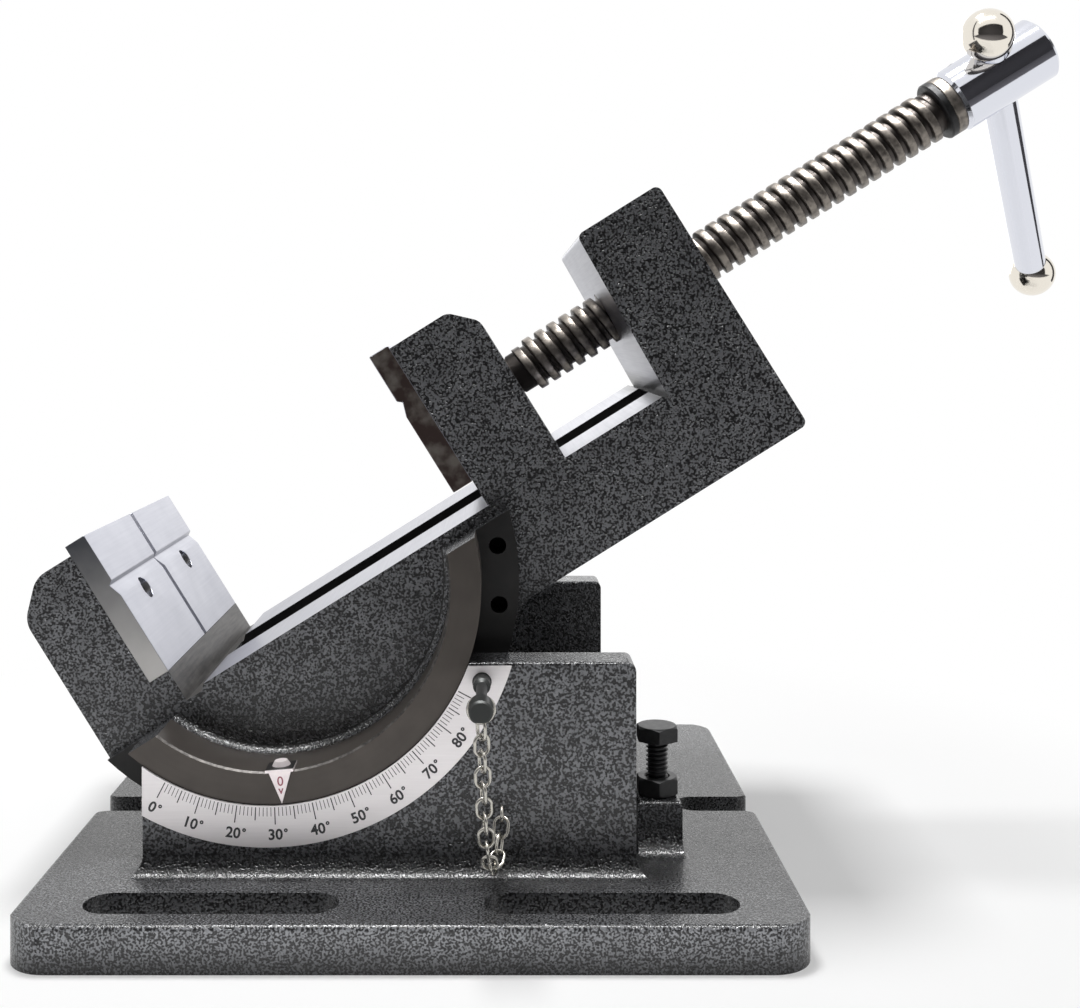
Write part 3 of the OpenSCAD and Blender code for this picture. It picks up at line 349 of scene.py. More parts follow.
def hexagon_bolt(length):
    """A bolt along Z with its tip at 0: a turned core, a rolled thread, and a hexagon head with a chamfer."""
    core, shank = BOLT_R - THREAD_DEPTH, length - HEAD_H
    stem = turned([core * TIP_SHARE, core, core, core], [EASE, TIP_H, shank, shank + 2 * EASE], columns=48)
    thread = helical_rib(core, BOLT_R, TIP_H + EASE, shank - EASE, THREAD_PITCH, root_share=0.86,
                         crest_share=0.2, columns=36)
    crown = turned([UNDER_R, 2 * HEX_R, 2 * HEX_R, *CHAMFER_R[::-1], FACE_R],
                   [shank, shank + UNDER_H, length - CORNER_H, *(length - CHAMFER_H[::-1]), length],
                   columns=96, flats=HEX_R)
    return skin(stem, thread, crown)


# Black oxide on rolled steel: a thin dark film, nearly black, with an oily half gloss and greyer crests.
black_oxide, tree, shader = start_finish("black_oxide_steel", Metallic=0.55)
place = add(tree, "ShaderNodeTexCoord").outputs["Object"]
film = add(tree, "ShaderNodeTexNoise", {"Vector": place, "Scale": 1 / (1.5 * MM),
                                        "Detail": 4.0}).outputs["Fac"]
colour = add(tree, "ShaderNodeMix", {FACTOR: film, FIRST: linear("#161617"), SECOND: linear("#343435")},
             data_type="RGBA").outputs[MIXED]
gloss = add(tree, "ShaderNodeMapRange", {"Value": film, "To Min": 0.3, "To Max": 0.5}).outputs["Result"]
bump = add(tree, "ShaderNodeBump", {"Height": film, "Strength": 0.25,
                                    "Distance": 0.02 * MM}).outputs["Normal"]
feed(tree, shader, Base_Color=colour, Roughness=gloss, Normal=bump)

low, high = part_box("stop_bolt")
bolt_points, bolt_faces = hexagon_bolt(high.z - low.z)
bolt_foot = np.array([(low.x + high.x) / 2, (low.y + high.y) / 2, low.z])
piece = new_piece("stop_bolt_threaded", bolt_points + bolt_foot, bolt_faces, "stop_bolt",
                  black_oxide, smooth_angle=30)
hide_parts("stop_bolt")

low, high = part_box("stop_jam_nut")
nut_h = high.z - low.z
bore, mouth = BOLT_R + EASE, 0.4 * MM
nut = turned([bore + mouth, FACE_R, *CHAMFER_R, *CHAMFER_R[::-1], FACE_R, bore + mouth, bore, bore],
             [0, 0, *CHAMFER_H, *(nut_h - CHAMFER_H[::-1]), nut_h, nut_h, nut_h - mouth, mouth],
             columns=96, flats=HEX_R)
nut = np.concatenate([nut, nut[:1]])
nut_points, nut_faces = skin(nut)
piece = new_piece("stop_jam_nut_chamfered", nut_points + np.array([bolt_foot[0], bolt_foot[1], low.z]),
                  nut_faces[:-2], "base", black_oxide, smooth_angle=30)
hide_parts("stop_jam_nut")

for side in ("left", "right"):
    low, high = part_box(f"tilt_lock_bolt_{side}")
    bolt_points, bolt_faces = hexagon_bolt(high.y - low.y)
    laid = np.stack([bolt_points[:, 0], bolt_points[:, 2], -bolt_points[:, 1]], -1)
    tip = np.array([(low.x + high.x) / 2, low.y, (low.z + high.z) / 2])
    piece = new_piece(f"tilt_lock_bolt_{side}_threaded", laid + tip, bolt_faces, f"lock_bolt_{side}",
                      black_oxide, smooth_angle=30)
    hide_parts(f"tilt_lock_bolt_{side}")


# The index pin is turned from steel bar and left grey; it drops into a hole of the flange through the wall.
# A nickel-plated chain of bent wire links ties its ring to an eye screwed into the wall.

# Oiled turned steel: dull dark grey, with fine rings round it from the tool.
pin_steel, tree, shader = start_finish("oiled_turned_steel", Metallic=0.7, Roughness=0.42)
place = add(tree, "ShaderNodeTexCoord").outputs["Object"]
rings = add(tree, "ShaderNodeMapping", {"Vector": place, "Scale": (1, 1 / (0.4 * MM), 1)}).outputs[0]
tool = add(tree, "ShaderNodeTexNoise", {"Vector": rings, "Scale": 1.0, "Detail": 2.0}).outputs["Fac"]
colour = add(tree, "ShaderNodeMix", {FACTOR: tool, FIRST: linear("#2c2d2d"), SECOND: linear("#474948")},
             data_type="RGBA").outputs[MIXED]
bump = add(tree, "ShaderNodeBump", {"Height": tool, "Strength": 0.3, "Distance": 0.03 * MM}).outputs["Normal"]
feed(tree, shader, Base_Color=colour, Normal=bump)
finish_nodes(pin_steel, "index_pin")

# Nickel-plated wire: warm white metal, bright on the bends and a little cloudy where the plating is thin.
nickel_wire, tree, shader = start_finish("nickel_plated_wire", Metallic=1.0)
place = add(tree, "ShaderNodeTexCoord").outputs["Object"]
cloud = add(tree, "ShaderNodeTexNoise", {"Vector": place, "Scale": 1 / (1.2 * MM),
                                         "Detail": 3.0}).outputs["Fac"]
colour = add(tree, "ShaderNodeMix", {FACTOR: cloud, FIRST: linear("#a9a69f"), SECOND: linear("#d8d5cd")},
             data_type="RGBA").outputs[MIXED]
gloss = add(tree, "ShaderNodeMapRange", {"Value": cloud, "To Min": 0.12, "To Max": 0.34}).outputs["Result"]
feed(tree, shader, Base_Color=colour, Roughness=gloss)
finish_nodes(nickel_wire, "pin_ring", "pin_chain", "chain_eye")


# The vise body is one iron casting: fixed jaw, slotted bed, upright with the screw's thread, and a trunnion
# at each side. The slideways and the upright's face are ground, the journals turned, the rest enamelled.
# Measures u, y and w run along, across and square to the bed, from the tilt axis.
BED_TOP, FIXED_U, UPRIGHT_U = -14.2 * MM, -39.8 * MM, 120.4 * MM
PLATE_T, PLATE_LOW, PLATE_TOP = 6.3 * MM, -6 * MM, 39 * MM
JOURNAL_R, RING_IN_R, INDEX_R, INDEX_HOLE_R = 57.6 * MM, 48.9 * MM, 62.8 * MM, 2.4 * MM
BODY_FRONT, BODY_REAR, FLANGE_T = -38.8 * MM, 63.2 * MM, 5 * MM
RING_FRONT, RING_REAR, MOUTH = -57.3 * MM, 81.7 * MM, 0.9 * MM

# Ground steel or iron: pale cold grey metal with very fine lines from the wheel, along the width of the bed.
# Painted shade makes it dark in the corner of bed and upright.
ground, tree, shader = start_finish("surface_ground_iron", Metallic=1.0)
place = add(tree, "ShaderNodeTexCoord").outputs["Object"]
wheel = add(tree, "ShaderNodeMapping", {"Vector": place, "Scale": (1 / (0.5 * MM), 1 / (30 * MM),
                                                                   1 / (0.5 * MM))}).outputs[0]
lines = add(tree, "ShaderNodeTexNoise", {"Vector": wheel, "Scale": 1.0, "Detail": 3.0}).outputs["Fac"]
patch = add(tree, "ShaderNodeTexNoise", {"Vector": place, "Scale": 1 / (14 * MM),
                                         "Detail": 2.0}).outputs["Fac"]
colour = add(tree, "ShaderNodeMix", {FACTOR: patch, FIRST: linear("#9596a0"), SECOND: linear("#acadb5")},
             data_type="RGBA").outputs[MIXED]
# Painted shade: the colour darkens towards the corner of bed and upright, within 7 mm of it.
to_corner = (-AXIS[0] - UPRIGHT_U * cos(TILT) + BED_TOP * sin(TILT), 0,
             -AXIS[2] - UPRIGHT_U * sin(TILT) - BED_TOP * cos(TILT))
off_corner = add(tree, "ShaderNodeVectorMath", {0: place, 1: to_corner}, operation="ADD").outputs[0]
off_corner = add(tree, "ShaderNodeVectorMath", {0: off_corner, 1: (1, 0, 1)}, operation="MULTIPLY").outputs[0]
off_corner = add(tree, "ShaderNodeVectorMath", {0: off_corner}, operation="LENGTH").outputs["Value"]
corner_shade = add(tree, "ShaderNodeMapRange", {"Value": off_corner, "From Min": 1.5 * MM, "From Max": 7 * MM,
                                       "To Min": 0.85, "To Max": 0.0},
          interpolation_type="SMOOTHSTEP").outputs["Result"]
colour = add(tree, "ShaderNodeMix", {FACTOR: corner_shade, FIRST: colour, SECOND: linear("#1d1b1a")},
             data_type="RGBA").outputs[MIXED]
gloss = add(tree, "ShaderNodeMapRange", {"Value": lines, "From Min": 0.3, "From Max": 0.7, "To Min": 0.28,
                                         "To Max": 0.34}).outputs["Result"]
bump = add(tree, "ShaderNodeBump", {"Height": lines, "Strength": 0.04,
                                    "Distance": 0.01 * MM}).outputs["Normal"]
feed(tree, shader, Base_Color=colour, Roughness=gloss, Normal=bump)

# Turned iron, oiled: a smooth satin brown grey with faint rings round the tilt axis.
turned_iron, tree, shader = start_finish("oiled_turned_iron", Metallic=0.2, Specular_IOR_Level=0.3)
place = add(tree, "ShaderNodeTexCoord").outputs["Object"]
centred = add(tree, "ShaderNodeMapping", {"Vector": place, "Location": tuple(-AXIS)}).outputs[0]
rings = add(tree, "ShaderNodeTexWave", {"Vector": centred, "Scale": 1 / (6 * MM), "Distortion": 0.6,
                                        "Detail": 2.0}, wave_type="RINGS", rings_direction="Y").outputs["Fac"]
smear = add(tree, "ShaderNodeTexNoise", {"Vector": place, "Scale": 1 / (7 * MM),
                                         "Detail": 3.0}).outputs["Fac"]
colour = add(tree, "ShaderNodeMix", {FACTOR: smear, FIRST: linear("#3d3936"), SECOND: linear("#4e4945")},
             data_type="RGBA").outputs[MIXED]
gloss = add(tree, "ShaderNodeMapRange", {"Value": rings, "To Min": 0.36, "To Max": 0.48}).outputs["Result"]
feed(tree, shader, Base_Color=colour, Roughness=gloss)

# Blacked iron: the index flange is smooth and near black, with a dull oily gloss.
# The same near black also stands as painted shade on the sides of the bed's slot and on the pointer's upper
# faces.
blacked_and_shade, tree, shader = start_finish("blacked_iron_flange", Specular_IOR_Level=0.3)
place = add(tree, "ShaderNodeTexCoord").outputs["Object"]
smear = add(tree, "ShaderNodeTexNoise", {"Vector": place, "Scale": 1 / (4 * MM),
                                         "Detail": 4.0}).outputs["Fac"]
colour = add(tree, "ShaderNodeMix", {FACTOR: smear, FIRST: linear("#141414"), SECOND: linear("#262525")},
             data_type="RGBA").outputs[MIXED]
gloss = add(tree, "ShaderNodeMapRange", {"Value": smear, "To Min": 0.34, "To Max": 0.5}).outputs["Result"]
feed(tree, shader, Base_Color=colour, Roughness=gloss)

# Milled and oiled iron: darker than the ground faces, with dirt that stays in the cutter's marks.
oily_iron, tree, shader = start_finish("oily_milled_iron", Metallic=0.75)
place = add(tree, "ShaderNodeTexCoord").outputs["Object"]
cutter = add(tree, "ShaderNodeMapping", {"Vector": place, "Scale": (1 / (0.8 * MM), 1 / (12 * MM),
                                                                    1 / (0.8 * MM))}).outputs[0]
lines = add(tree, "ShaderNodeTexNoise", {"Vector": cutter, "Scale": 1.0, "Detail": 3.0}).outputs["Fac"]
dirt = add(tree, "ShaderNodeTexNoise", {"Vector": place, "Scale": 1 / (3 * MM), "Detail": 4.0}).outputs["Fac"]
dark = add(tree, "ShaderNodeMath", {0: lines, 1: dirt}, operation="MULTIPLY").outputs[0]
dark = add(tree, "ShaderNodeMapRange", {"Value": dark, "From Min": 0.12, "From Max": 0.38}).outputs["Result"]
colour = add(tree, "ShaderNodeMix", {FACTOR: dark, FIRST: linear("#232221"), SECOND: linear("#54514f")},
             data_type="RGBA").outputs[MIXED]
gloss = add(tree, "ShaderNodeMapRange", {"Value": dirt, "To Min": 0.3, "To Max": 0.5}).outputs["Result"]
feed(tree, shader, Base_Color=colour, Roughness=gloss)


def bed_frame(vectors):
    """World vectors turned into the bed's frame by the tilt T: u = x cos T + z sin T along the bed, y across
    it, and w = z cos T - x sin T square to it."""
    u = vectors[:, 0] * cos(TILT) + vectors[:, 2] * sin(TILT)
    w = -vectors[:, 0] * sin(TILT) + vectors[:, 2] * cos(TILT)
    return u, vectors[:, 1], w


def face_middles(mesh):
    """Middle and normal of every face as arrays, the middle taken from the tilt axis at y = 0."""
    middles, normals = np.empty((2, len(mesh.polygons) * 3), np.float32)
    mesh.polygons.foreach_get("center", middles)
    mesh.polygons.foreach_get("normal", normals)
    return middles.reshape(-1, 3) - AXIS * (1, 0, 1), normals.reshape(-1, 3)


def finish_faces(piece, numbers):
    """Gives every face the finish with that number in the piece's list."""
    piece.data.polygons.foreach_set("material_index", np.asarray(numbers, np.int32))


vise = merged_copy("vise_body", "vise_body_enamelled", "vise_body", "cast_enamel",
                   enamel, ground, turned_iron, blacked_and_shade, oily_iron, edge=0.9 * MM)
ENAMEL, GROUND, TURNED, BLACK, OILY = range(5)

# Where each face lies and which way it looks says how it was machined. A face is square to an axis if its
# normal's share along it is over SQUARE, lies on a surface if it is within NEAR of it, and stands off the
# body's side if it is more than CLEAR outside.
SQUARE, NEAR, CLEAR = 0.9, 0.3 * MM, 0.1 * MM
middles, normals = face_middles(vise.data)
u, y, w = bed_frame(middles)
nu, ny, nw = bed_frame(normals)
radius = np.hypot(u, w)
outwards = (u * nu + w * nw) / np.maximum(radius, 1e-9)
at_side = (y < BODY_FRONT - CLEAR) | (y > BODY_REAR + CLEAR)
at_mouth = (y < RING_FRONT + MOUTH) | (y > RING_REAR - MOUTH)
at_flange = (y > BODY_FRONT - FLANGE_T - NEAR) & (y < BODY_REAR + FLANGE_T + NEAR)

# Ground: the rails' tops and the upright's drafted inner face.
is_ground = (nw > SQUARE) & (np.abs(w - BED_TOP) < NEAR) & (u > FIXED_U)
is_ground |= (nu < -0.7) & (np.abs(u - UPRIGHT_U) < 6 * MM)
# Oily: the fixed jaw's seat for its plate with the step below it, and the bevel inside each ring's mouth.
is_oily = (u > FIXED_U - 7 * MM) & (u < FIXED_U + PLATE_T + CLEAR)
is_oily &= (w < PLATE_TOP + 1 * MM) & (w > BED_TOP - 2 * MM)
is_oily &= ~is_ground & ~at_side & (np.abs(ny) < 0.5) & ((nu > 0.5) | (nw > 0.5))
is_bevel = at_side & at_mouth & (outwards < -0.4) & (np.abs(ny) > 0.4) & (np.abs(ny) < SQUARE)
# Turned: each ring's outside, inside and end face.
is_turned = at_side & (radius > RING_IN_R - 2 * NEAR) & (radius < JOURNAL_R + NEAR)
is_turned &= np.abs(outwards) > 0.95
is_turned |= at_side & at_mouth & (np.abs(ny) > SQUARE)
# Black: the index flanges with their outer faces and holes, and, as painted shade, the sides of the bed's
# slot.
is_black = at_side & at_flange & ~is_turned & (radius > JOURNAL_R - 1 * MM)
is_black |= at_side & at_flange & (ny * np.sign(y - (BODY_FRONT + BODY_REAR) / 2) > SQUARE)
in_hole = (np.abs(radius - INDEX_R) < INDEX_HOLE_R + 0.4 * MM) & (np.abs(outwards) < 0.999)
is_black |= in_hole & (np.abs(ny) < 0.1) & ~at_side & (w < -20 * MM)
in_slot = (y > BODY_FRONT + 1 * MM) & (y < BODY_REAR - 1 * MM) & (w < BED_TOP)
is_black |= in_slot & (np.abs(ny) > SQUARE)
finish_faces(vise, np.select([is_ground, is_bevel, is_oily, is_turned, is_black],
                             [GROUND, OILY, OILY, TURNED, BLACK], ENAMEL))


# Each jaw plate is a hardened block with two V grooves, ground on its face and held by two socket screws.
# The movable plate's sawn ends keep the brown scale of the hardening; the fixed plate's ends are rubbed grey.

# Hardening scale: dark brown with paler clouds, uneven, with a thin oily gloss.
hard_scale, tree, shader = start_finish("hardening_scale_on_steel", Metallic=0.6)
place = add(tree, "ShaderNodeTexCoord").outputs["Object"]
bloom = add(tree, "ShaderNodeTexNoise", {"Vector": place, "Scale": 1 / (6 * MM),
                                         "Detail": 4.0}).outputs["Fac"]
bloom = add(tree, "ShaderNodeMapRange", {"Value": bloom, "From Min": 0.35, "From Max": 0.65, "To Min": -0.2,
                                         "To Max": 0.35}).outputs["Result"]
colour = add(tree, "ShaderNodeMix", {FACTOR: bloom, FIRST: linear("#3b2f2c"), SECOND: linear("#a8a49c")},
             data_type="RGBA").outputs[MIXED]
gloss = add(tree, "ShaderNodeMapRange", {"Value": bloom, "To Min": 0.45, "To Max": 0.32}).outputs["Result"]
feed(tree, shader, Base_Color=colour, Roughness=gloss)

# Rubbed hardened steel: a smooth satin grey, with painted shade that makes it dark at the plate's top edge and
# pale towards its foot.
rubbed_steel_and_shade, tree, shader = start_finish("rubbed_hardened_steel", Metallic=0.6, Roughness=0.4)
place = add(tree, "ShaderNodeTexCoord").outputs["Object"]
up_plate = add(tree, "ShaderNodeVectorMath", {0: place, 1: (-sin(TILT), 0, cos(TILT))},
               operation="DOT_PRODUCT").outputs["Value"]
AXIS_UP = -AXIS[0] * sin(TILT) + AXIS[2] * cos(TILT)
# Painted shade: the grey runs from dark at the plate's top to pale at its foot.
pale_share = add(tree, "ShaderNodeMapRange", {"Value": up_plate, "From Min": AXIS_UP + PLATE_TOP,
                                        "From Max": AXIS_UP + PLATE_LOW}).outputs["Result"]
smudge = add(tree, "ShaderNodeTexNoise", {"Vector": place, "Scale": 1 / (9 * MM),
                                          "Detail": 3.0}).outputs["Fac"]
smudge = add(tree, "ShaderNodeMapRange", {"Value": smudge, "To Min": -0.15, "To Max": 0.15}).outputs["Result"]
pale_share = add(tree, "ShaderNodeMath", {0: pale_share, 1: smudge}, operation="ADD", use_clamp=True).outputs[0]
colour = add(tree, "ShaderNodeMix", {FACTOR: pale_share, FIRST: linear("#4b4d52"), SECOND: linear("#bdbbb9")},
             data_type="RGBA").outputs[MIXED]
feed(tree, shader, Base_Color=colour)

for side, carrier, ends in (("fixed", "vise_body", rubbed_steel_and_shade), ("movable", "movable_jaw", hard_scale)):
    plate = merged_copy(f"{side}_jaw_plate", f"{side}_jaw_plate_ground", carrier, "ground_steel",
                        ground, ends, edge=0.35 * MM)
    normals = face_middles(plate.data)[1]
    finish_faces(plate, np.abs(normals[:, 1]) > SQUARE)
    finish_nodes(black_oxide, f"{side}_jaw_screws")


# The movable jaw is a second iron casting. It slides on the bed, held down by a keeper plate and two screws,
# and two pins hold it to the groove in the screw's tip. Its sole and the seat of its plate are ground.
SEAT_U = 63 * MM
jaw = merged_copy("movable_jaw", "movable_jaw_enamelled", "movable_jaw", "cast_enamel",
                  enamel, ground, edge=0.9 * MM)
middles, normals = face_middles(jaw.data)
jaw_u = bed_frame(middles)[0]
nu, _, nw = bed_frame(normals)
finish_faces(jaw, (nw < -SQUARE) | ((nu < -SQUARE) & (jaw_u < SEAT_U)))

# Plain milled steel: mid grey metal with fine cutter lines.
milled, tree, shader = start_finish("milled_mild_steel", Metallic=1.0)
place = add(tree, "ShaderNodeTexCoord").outputs["Object"]
cutter = add(tree, "ShaderNodeMapping", {"Vector": place, "Scale": (1 / (8 * MM), 1 / (0.6 * MM),
                                                                    1 / (8 * MM))}).outputs[0]
lines = add(tree, "ShaderNodeTexNoise", {"Vector": cutter, "Scale": 1.0, "Detail": 2.0}).outputs["Fac"]
colour = add(tree, "ShaderNodeMix", {FACTOR: lines, FIRST: linear("#7d7d7f"), SECOND: linear("#9b9b9d")},
             data_type="RGBA").outputs[MIXED]
gloss = add(tree, "ShaderNodeMapRange", {"Value": lines, "To Min": 0.3, "To Max": 0.45}).outputs["Result"]
feed(tree, shader, Base_Color=colour, Roughness=gloss)
finish_nodes(milled, "jaw_keeper", "screw_retaining_pins")
finish_nodes(black_oxide, "keeper_screws")


# The lead screw is cut from steel bar with a square-like thread and left oiled; its crests have worn bright.
# Its tip has a groove for the jaw's pins, and a collar sits between the thread and the head.
SCREW_R, CORE_R, SPIGOT_R, SCREW_PITCH, SCREW_W = 8.3 * MM, 6.6 * MM, 6 * MM, 4.6 * MM, 11.5 * MM
TIP_U, NECK_U, THREAD_U, COLLAR_U, HEAD_U = 67.2 * MM, 86.7 * MM, 90 * MM, 244.2 * MM, 250.2 * MM
TIP_R, TIP_BEVEL, NECK_BEVEL, INTO_HEAD = 4.5 * MM, 1.2 * MM, 0.6 * MM, 2 * MM
GROOVE_LOW, GROOVE_HIGH, GROOVE_R = 74.75 * MM, 79.15 * MM, 4.4 * MM


def in_bed(points):
    """Puts points made about the Z axis on the screw's axis, Z pointing up along the bed: they go to
    (axis x + z cos T - up sin T, axis y + x, axis z + z sin T + up cos T) at tilt T, with up = y + SCREW_W."""
    along, across, up = points[:, 2], points[:, 0], points[:, 1] + SCREW_W
    return np.stack([AXIS[0] + along * cos(TILT) - up * sin(TILT), AXIS[1] + across,
                     AXIS[2] + along * sin(TILT) + up * cos(TILT)], -1)


def set_crest(piece, values):
    """Stores one value for each vertex as the attribute `crest`, which the screw's steel reads."""
    crest = piece.data.attributes.new("crest", "FLOAT", "POINT")
    crest.data.foreach_set("value", values.astype(np.float32))


thread = helical_rib(CORE_R, SCREW_R, THREAD_U, COLLAR_U, SCREW_PITCH, root_share=0.74, crest_share=0.58,
                     columns=48)
rows = [(TIP_R, TIP_U), (SPIGOT_R, TIP_U + TIP_BEVEL), (SPIGOT_R, GROOVE_LOW), (GROOVE_R, GROOVE_LOW),
        (GROOVE_R, GROOVE_HIGH), (SPIGOT_R, GROOVE_HIGH), (SPIGOT_R, NECK_U), (CORE_R, NECK_U + NECK_BEVEL),
        (CORE_R, COLLAR_U), (SPIGOT_R, COLLAR_U), (SPIGOT_R, HEAD_U + INTO_HEAD)]
screw_points, screw_faces = skin(turned(*zip(*rows), columns=64), thread)

# Cut and oiled steel: dark in the roots, which is painted shade, and bright and a little scratched on the worn
# crests.
screw_steel, tree, shader = start_finish("cut_screw_steel_oiled", Metallic=0.7)
place = add(tree, "ShaderNodeTexCoord").outputs["Object"]
crest = add(tree, "ShaderNodeAttribute", attribute_name="crest").outputs["Fac"]
smear = add(tree, "ShaderNodeTexNoise", {"Vector": place, "Scale": 1 / (2 * MM),
                                         "Detail": 4.0}).outputs["Fac"]
# Painted shade: the lower a point lies on the thread, the darker its colour.
pale_share = add(tree, "ShaderNodeMath", {0: crest, 1: smear}, operation="MULTIPLY").outputs[0]
pale_share = add(tree, "ShaderNodeMapRange", {"Value": pale_share, "From Min": 0.2, "From Max": 0.6}).outputs["Result"]
colour = add(tree, "ShaderNodeMix", {FACTOR: pale_share, FIRST: linear("#47423f"), SECOND: linear("#8f8880")},
             data_type="RGBA").outputs[MIXED]
gloss = add(tree, "ShaderNodeMapRange", {"Value": smear, "To Min": 0.28, "To Max": 0.42}).outputs["Result"]
feed(tree, shader, Base_Color=colour, Roughness=gloss)
screw = new_piece("lead_screw_threaded", in_bed(screw_points), screw_faces, "lead_screw",
                  screw_steel, smooth_angle=50)
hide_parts("lead_screw")
TIP_WEAR = 0.8
pu, py, pw = bed_frame(vertex_points(screw.data) - AXIS)
height = np.clip((np.hypot(py, pw - SCREW_W) - CORE_R) / (SCREW_R - CORE_R), 0, 1)
set_crest(screw, np.where(pu < NECK_U + NECK_BEVEL / 2, TIP_WEAR, height))

# The collar is a black ring and a plain steel washer, both turned, trapped between the thread and the head.
COLLAR_R, WASHER_U, EDGE = 9.7 * MM, 246.7 * MM, 0.5 * MM
rows = [(SPIGOT_R, COLLAR_U), (COLLAR_R - EDGE, COLLAR_U), (COLLAR_R, COLLAR_U + EDGE),
        (COLLAR_R, WASHER_U - EDGE / 2), (COLLAR_R - EDGE / 2, WASHER_U), (COLLAR_R, WASHER_U + EDGE / 2),
        (COLLAR_R, HEAD_U - EDGE), (COLLAR_R - EDGE, HEAD_U), (SPIGOT_R, HEAD_U), (SPIGOT_R, COLLAR_U)]
ring_points, ring_faces = skin(turned(*zip(*rows), columns=96))
collar = new_piece("screw_collar_and_washer", in_bed(ring_points), ring_faces[:-2], "lead_screw",
                   black_oxide, smooth_angle=30)
collar.data.materials.append(screw_steel)
set_crest(collar, np.ones(len(collar.data.vertices)))
finish_faces(collar, bed_frame(face_middles(collar.data)[0])[0] > WASHER_U)
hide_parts("screw_collar")


# The head is a chromed steel cylinder pinned to the screw.
# A chromed bar slides through it, with a nickel ball pressed on each end.

# Decorative chrome: a mirror with a cold tone, and very faint waves from polishing.
chrome, tree, shader = start_finish("polished_chrome_plate", Metallic=1.0, Base_Color=linear("#dddfe7"))
place = add(tree, "ShaderNodeTexCoord").outputs["Object"]
wave = add(tree, "ShaderNodeTexNoise", {"Vector": place, "Scale": 1 / (6 * MM), "Detail": 2.0}).outputs["Fac"]
gloss = add(tree, "ShaderNodeMapRange", {"Value": wave, "To Min": 0.04, "To Max": 0.12}).outputs["Result"]
bump = add(tree, "ShaderNodeBump", {"Height": wave, "Strength": 0.08,
                                    "Distance": 0.05 * MM}).outputs["Normal"]
feed(tree, shader, Roughness=gloss, Normal=bump)
finish_nodes(chrome, "screw_head", "handle_bar")
finish_nodes(milled, "head_pin")

# Bright nickel: a mirror with a warm yellow tone, softer than chrome.
nickel, tree, shader = start_finish("bright_nickel_plate", Metallic=1.0, Base_Color=linear("#ebe5da"))
place = add(tree, "ShaderNodeTexCoord").outputs["Object"]
wave = add(tree, "ShaderNodeTexNoise", {"Vector": place, "Scale": 1 / (5 * MM), "Detail": 3.0}).outputs["Fac"]
gloss = add(tree, "ShaderNodeMapRange", {"Value": wave, "To Min": 0.05, "To Max": 0.14}).outputs["Result"]
feed(tree, shader, Roughness=gloss)
finish_nodes(nickel, "handle_ball_upper", "handle_ball_lower")


# The pointer is a bent piece of sheet screwed to the journal, white on its face, with painted shade in black
# on its upper edge.
# Its tip reads the scale, and a maroon 0 and an arrow are printed on it.

# Baked white paint: a pale warm white with a soft gloss and a few specks.
white_paint, tree, shader = start_finish("baked_white_paint", Specular_IOR_Level=0.4)
place = add(tree, "ShaderNodeTexCoord").outputs["Object"]
speck = add(tree, "ShaderNodeTexNoise", {"Vector": place, "Scale": 1 / (1.2 * MM),
                                         "Detail": 3.0}).outputs["Fac"]
colour = add(tree, "ShaderNodeMix", {FACTOR: speck, FIRST: linear("#d6cbcd"), SECOND: linear("#ebe4e4")},
             data_type="RGBA").outputs[MIXED]
gloss = add(tree, "ShaderNodeMapRange", {"Value": speck, "To Min": 0.3, "To Max": 0.42}).outputs["Result"]
feed(tree, shader, Base_Color=colour, Roughness=gloss)
pointer = merged_copy("angle_pointer", "angle_pointer_painted", "vise_body", "pointer_sheet",
                      white_paint, blacked_and_shade, edge=0.08 * MM)
# Painted shade: the faces that look up are black.
finish_faces(pointer, face_middles(pointer.data)[1][:, 2] > 0.7)
finish_nodes(white_paint, "pointer_screw")

# Maroon printing ink: a thin dull red film.
maroon, tree, shader = start_finish("screen_printed_maroon_ink", Roughness=0.5)
place = add(tree, "ShaderNodeTexCoord").outputs["Object"]
cover = add(tree, "ShaderNodeTexNoise", {"Vector": place, "Scale": 1 / (0.6 * MM),
                                         "Detail": 2.0}).outputs["Fac"]
colour = add(tree, "ShaderNodeMix", {FACTOR: cover, FIRST: linear("#7d3a47"), SECOND: linear("#965863")},
             data_type="RGBA").outputs[MIXED]
feed(tree, shader, Base_Color=colour)

POINTER_AT, BLADE_T, STROKE_BOLD = ZERO_AT + TILT, 0.8 * MM, 0.03 * MM
ZERO_R, ZERO_H, ARROW_R, ARROW_H = 51.2 * MM, 2.6 * MM, 53.9 * MM, 1.5 * MM
blade_out = SCALE_FRONT - RING_FRONT + BLADE_T
zero, zero_faces = flat_words("0", ZERO_H, STROKE_BOLD)
arrow, arrow_faces = flat_words("v", ARROW_H, STROKE_BOLD)
mark_points = np.concatenate([set_round(zero, POINTER_AT, ZERO_R, blade_out),
                              set_round(arrow, POINTER_AT, ARROW_R, blade_out)])
mark_faces = zero_faces + [tuple(v + len(zero) for v in face) for face in arrow_faces]
new_piece("pointer_marks", mark_points, mark_faces, "vise_body", maroon)


# The studio is a pale paper floor that runs out into white, in a white surround that is brightest overhead.
# A soft lamp and a strip lamp hang above, and a weak one stands behind. A shallow one in the table, close to
# the base, lights the front from below.
FLOOR_X, FLOOR_FRONT, FLOOR_BACK = 0.45, -0.3, 0.5
FADE_FROM, FADE_TO = 0.17, 0.3


def seen_rays(tree):
    """1 for rays that make the picture, from the camera, off a mirror or through glass, and 0 for others."""
    path = add(tree, "ShaderNodeLightPath").outputs
    seen = path["Is Camera Ray"]
    for kind in ("Is Glossy Ray", "Is Transmission Ray"):
        seen = add(tree, "ShaderNodeMath", {0: seen, 1: path[kind]}, operation="MAXIMUM").outputs[0]
    return seen


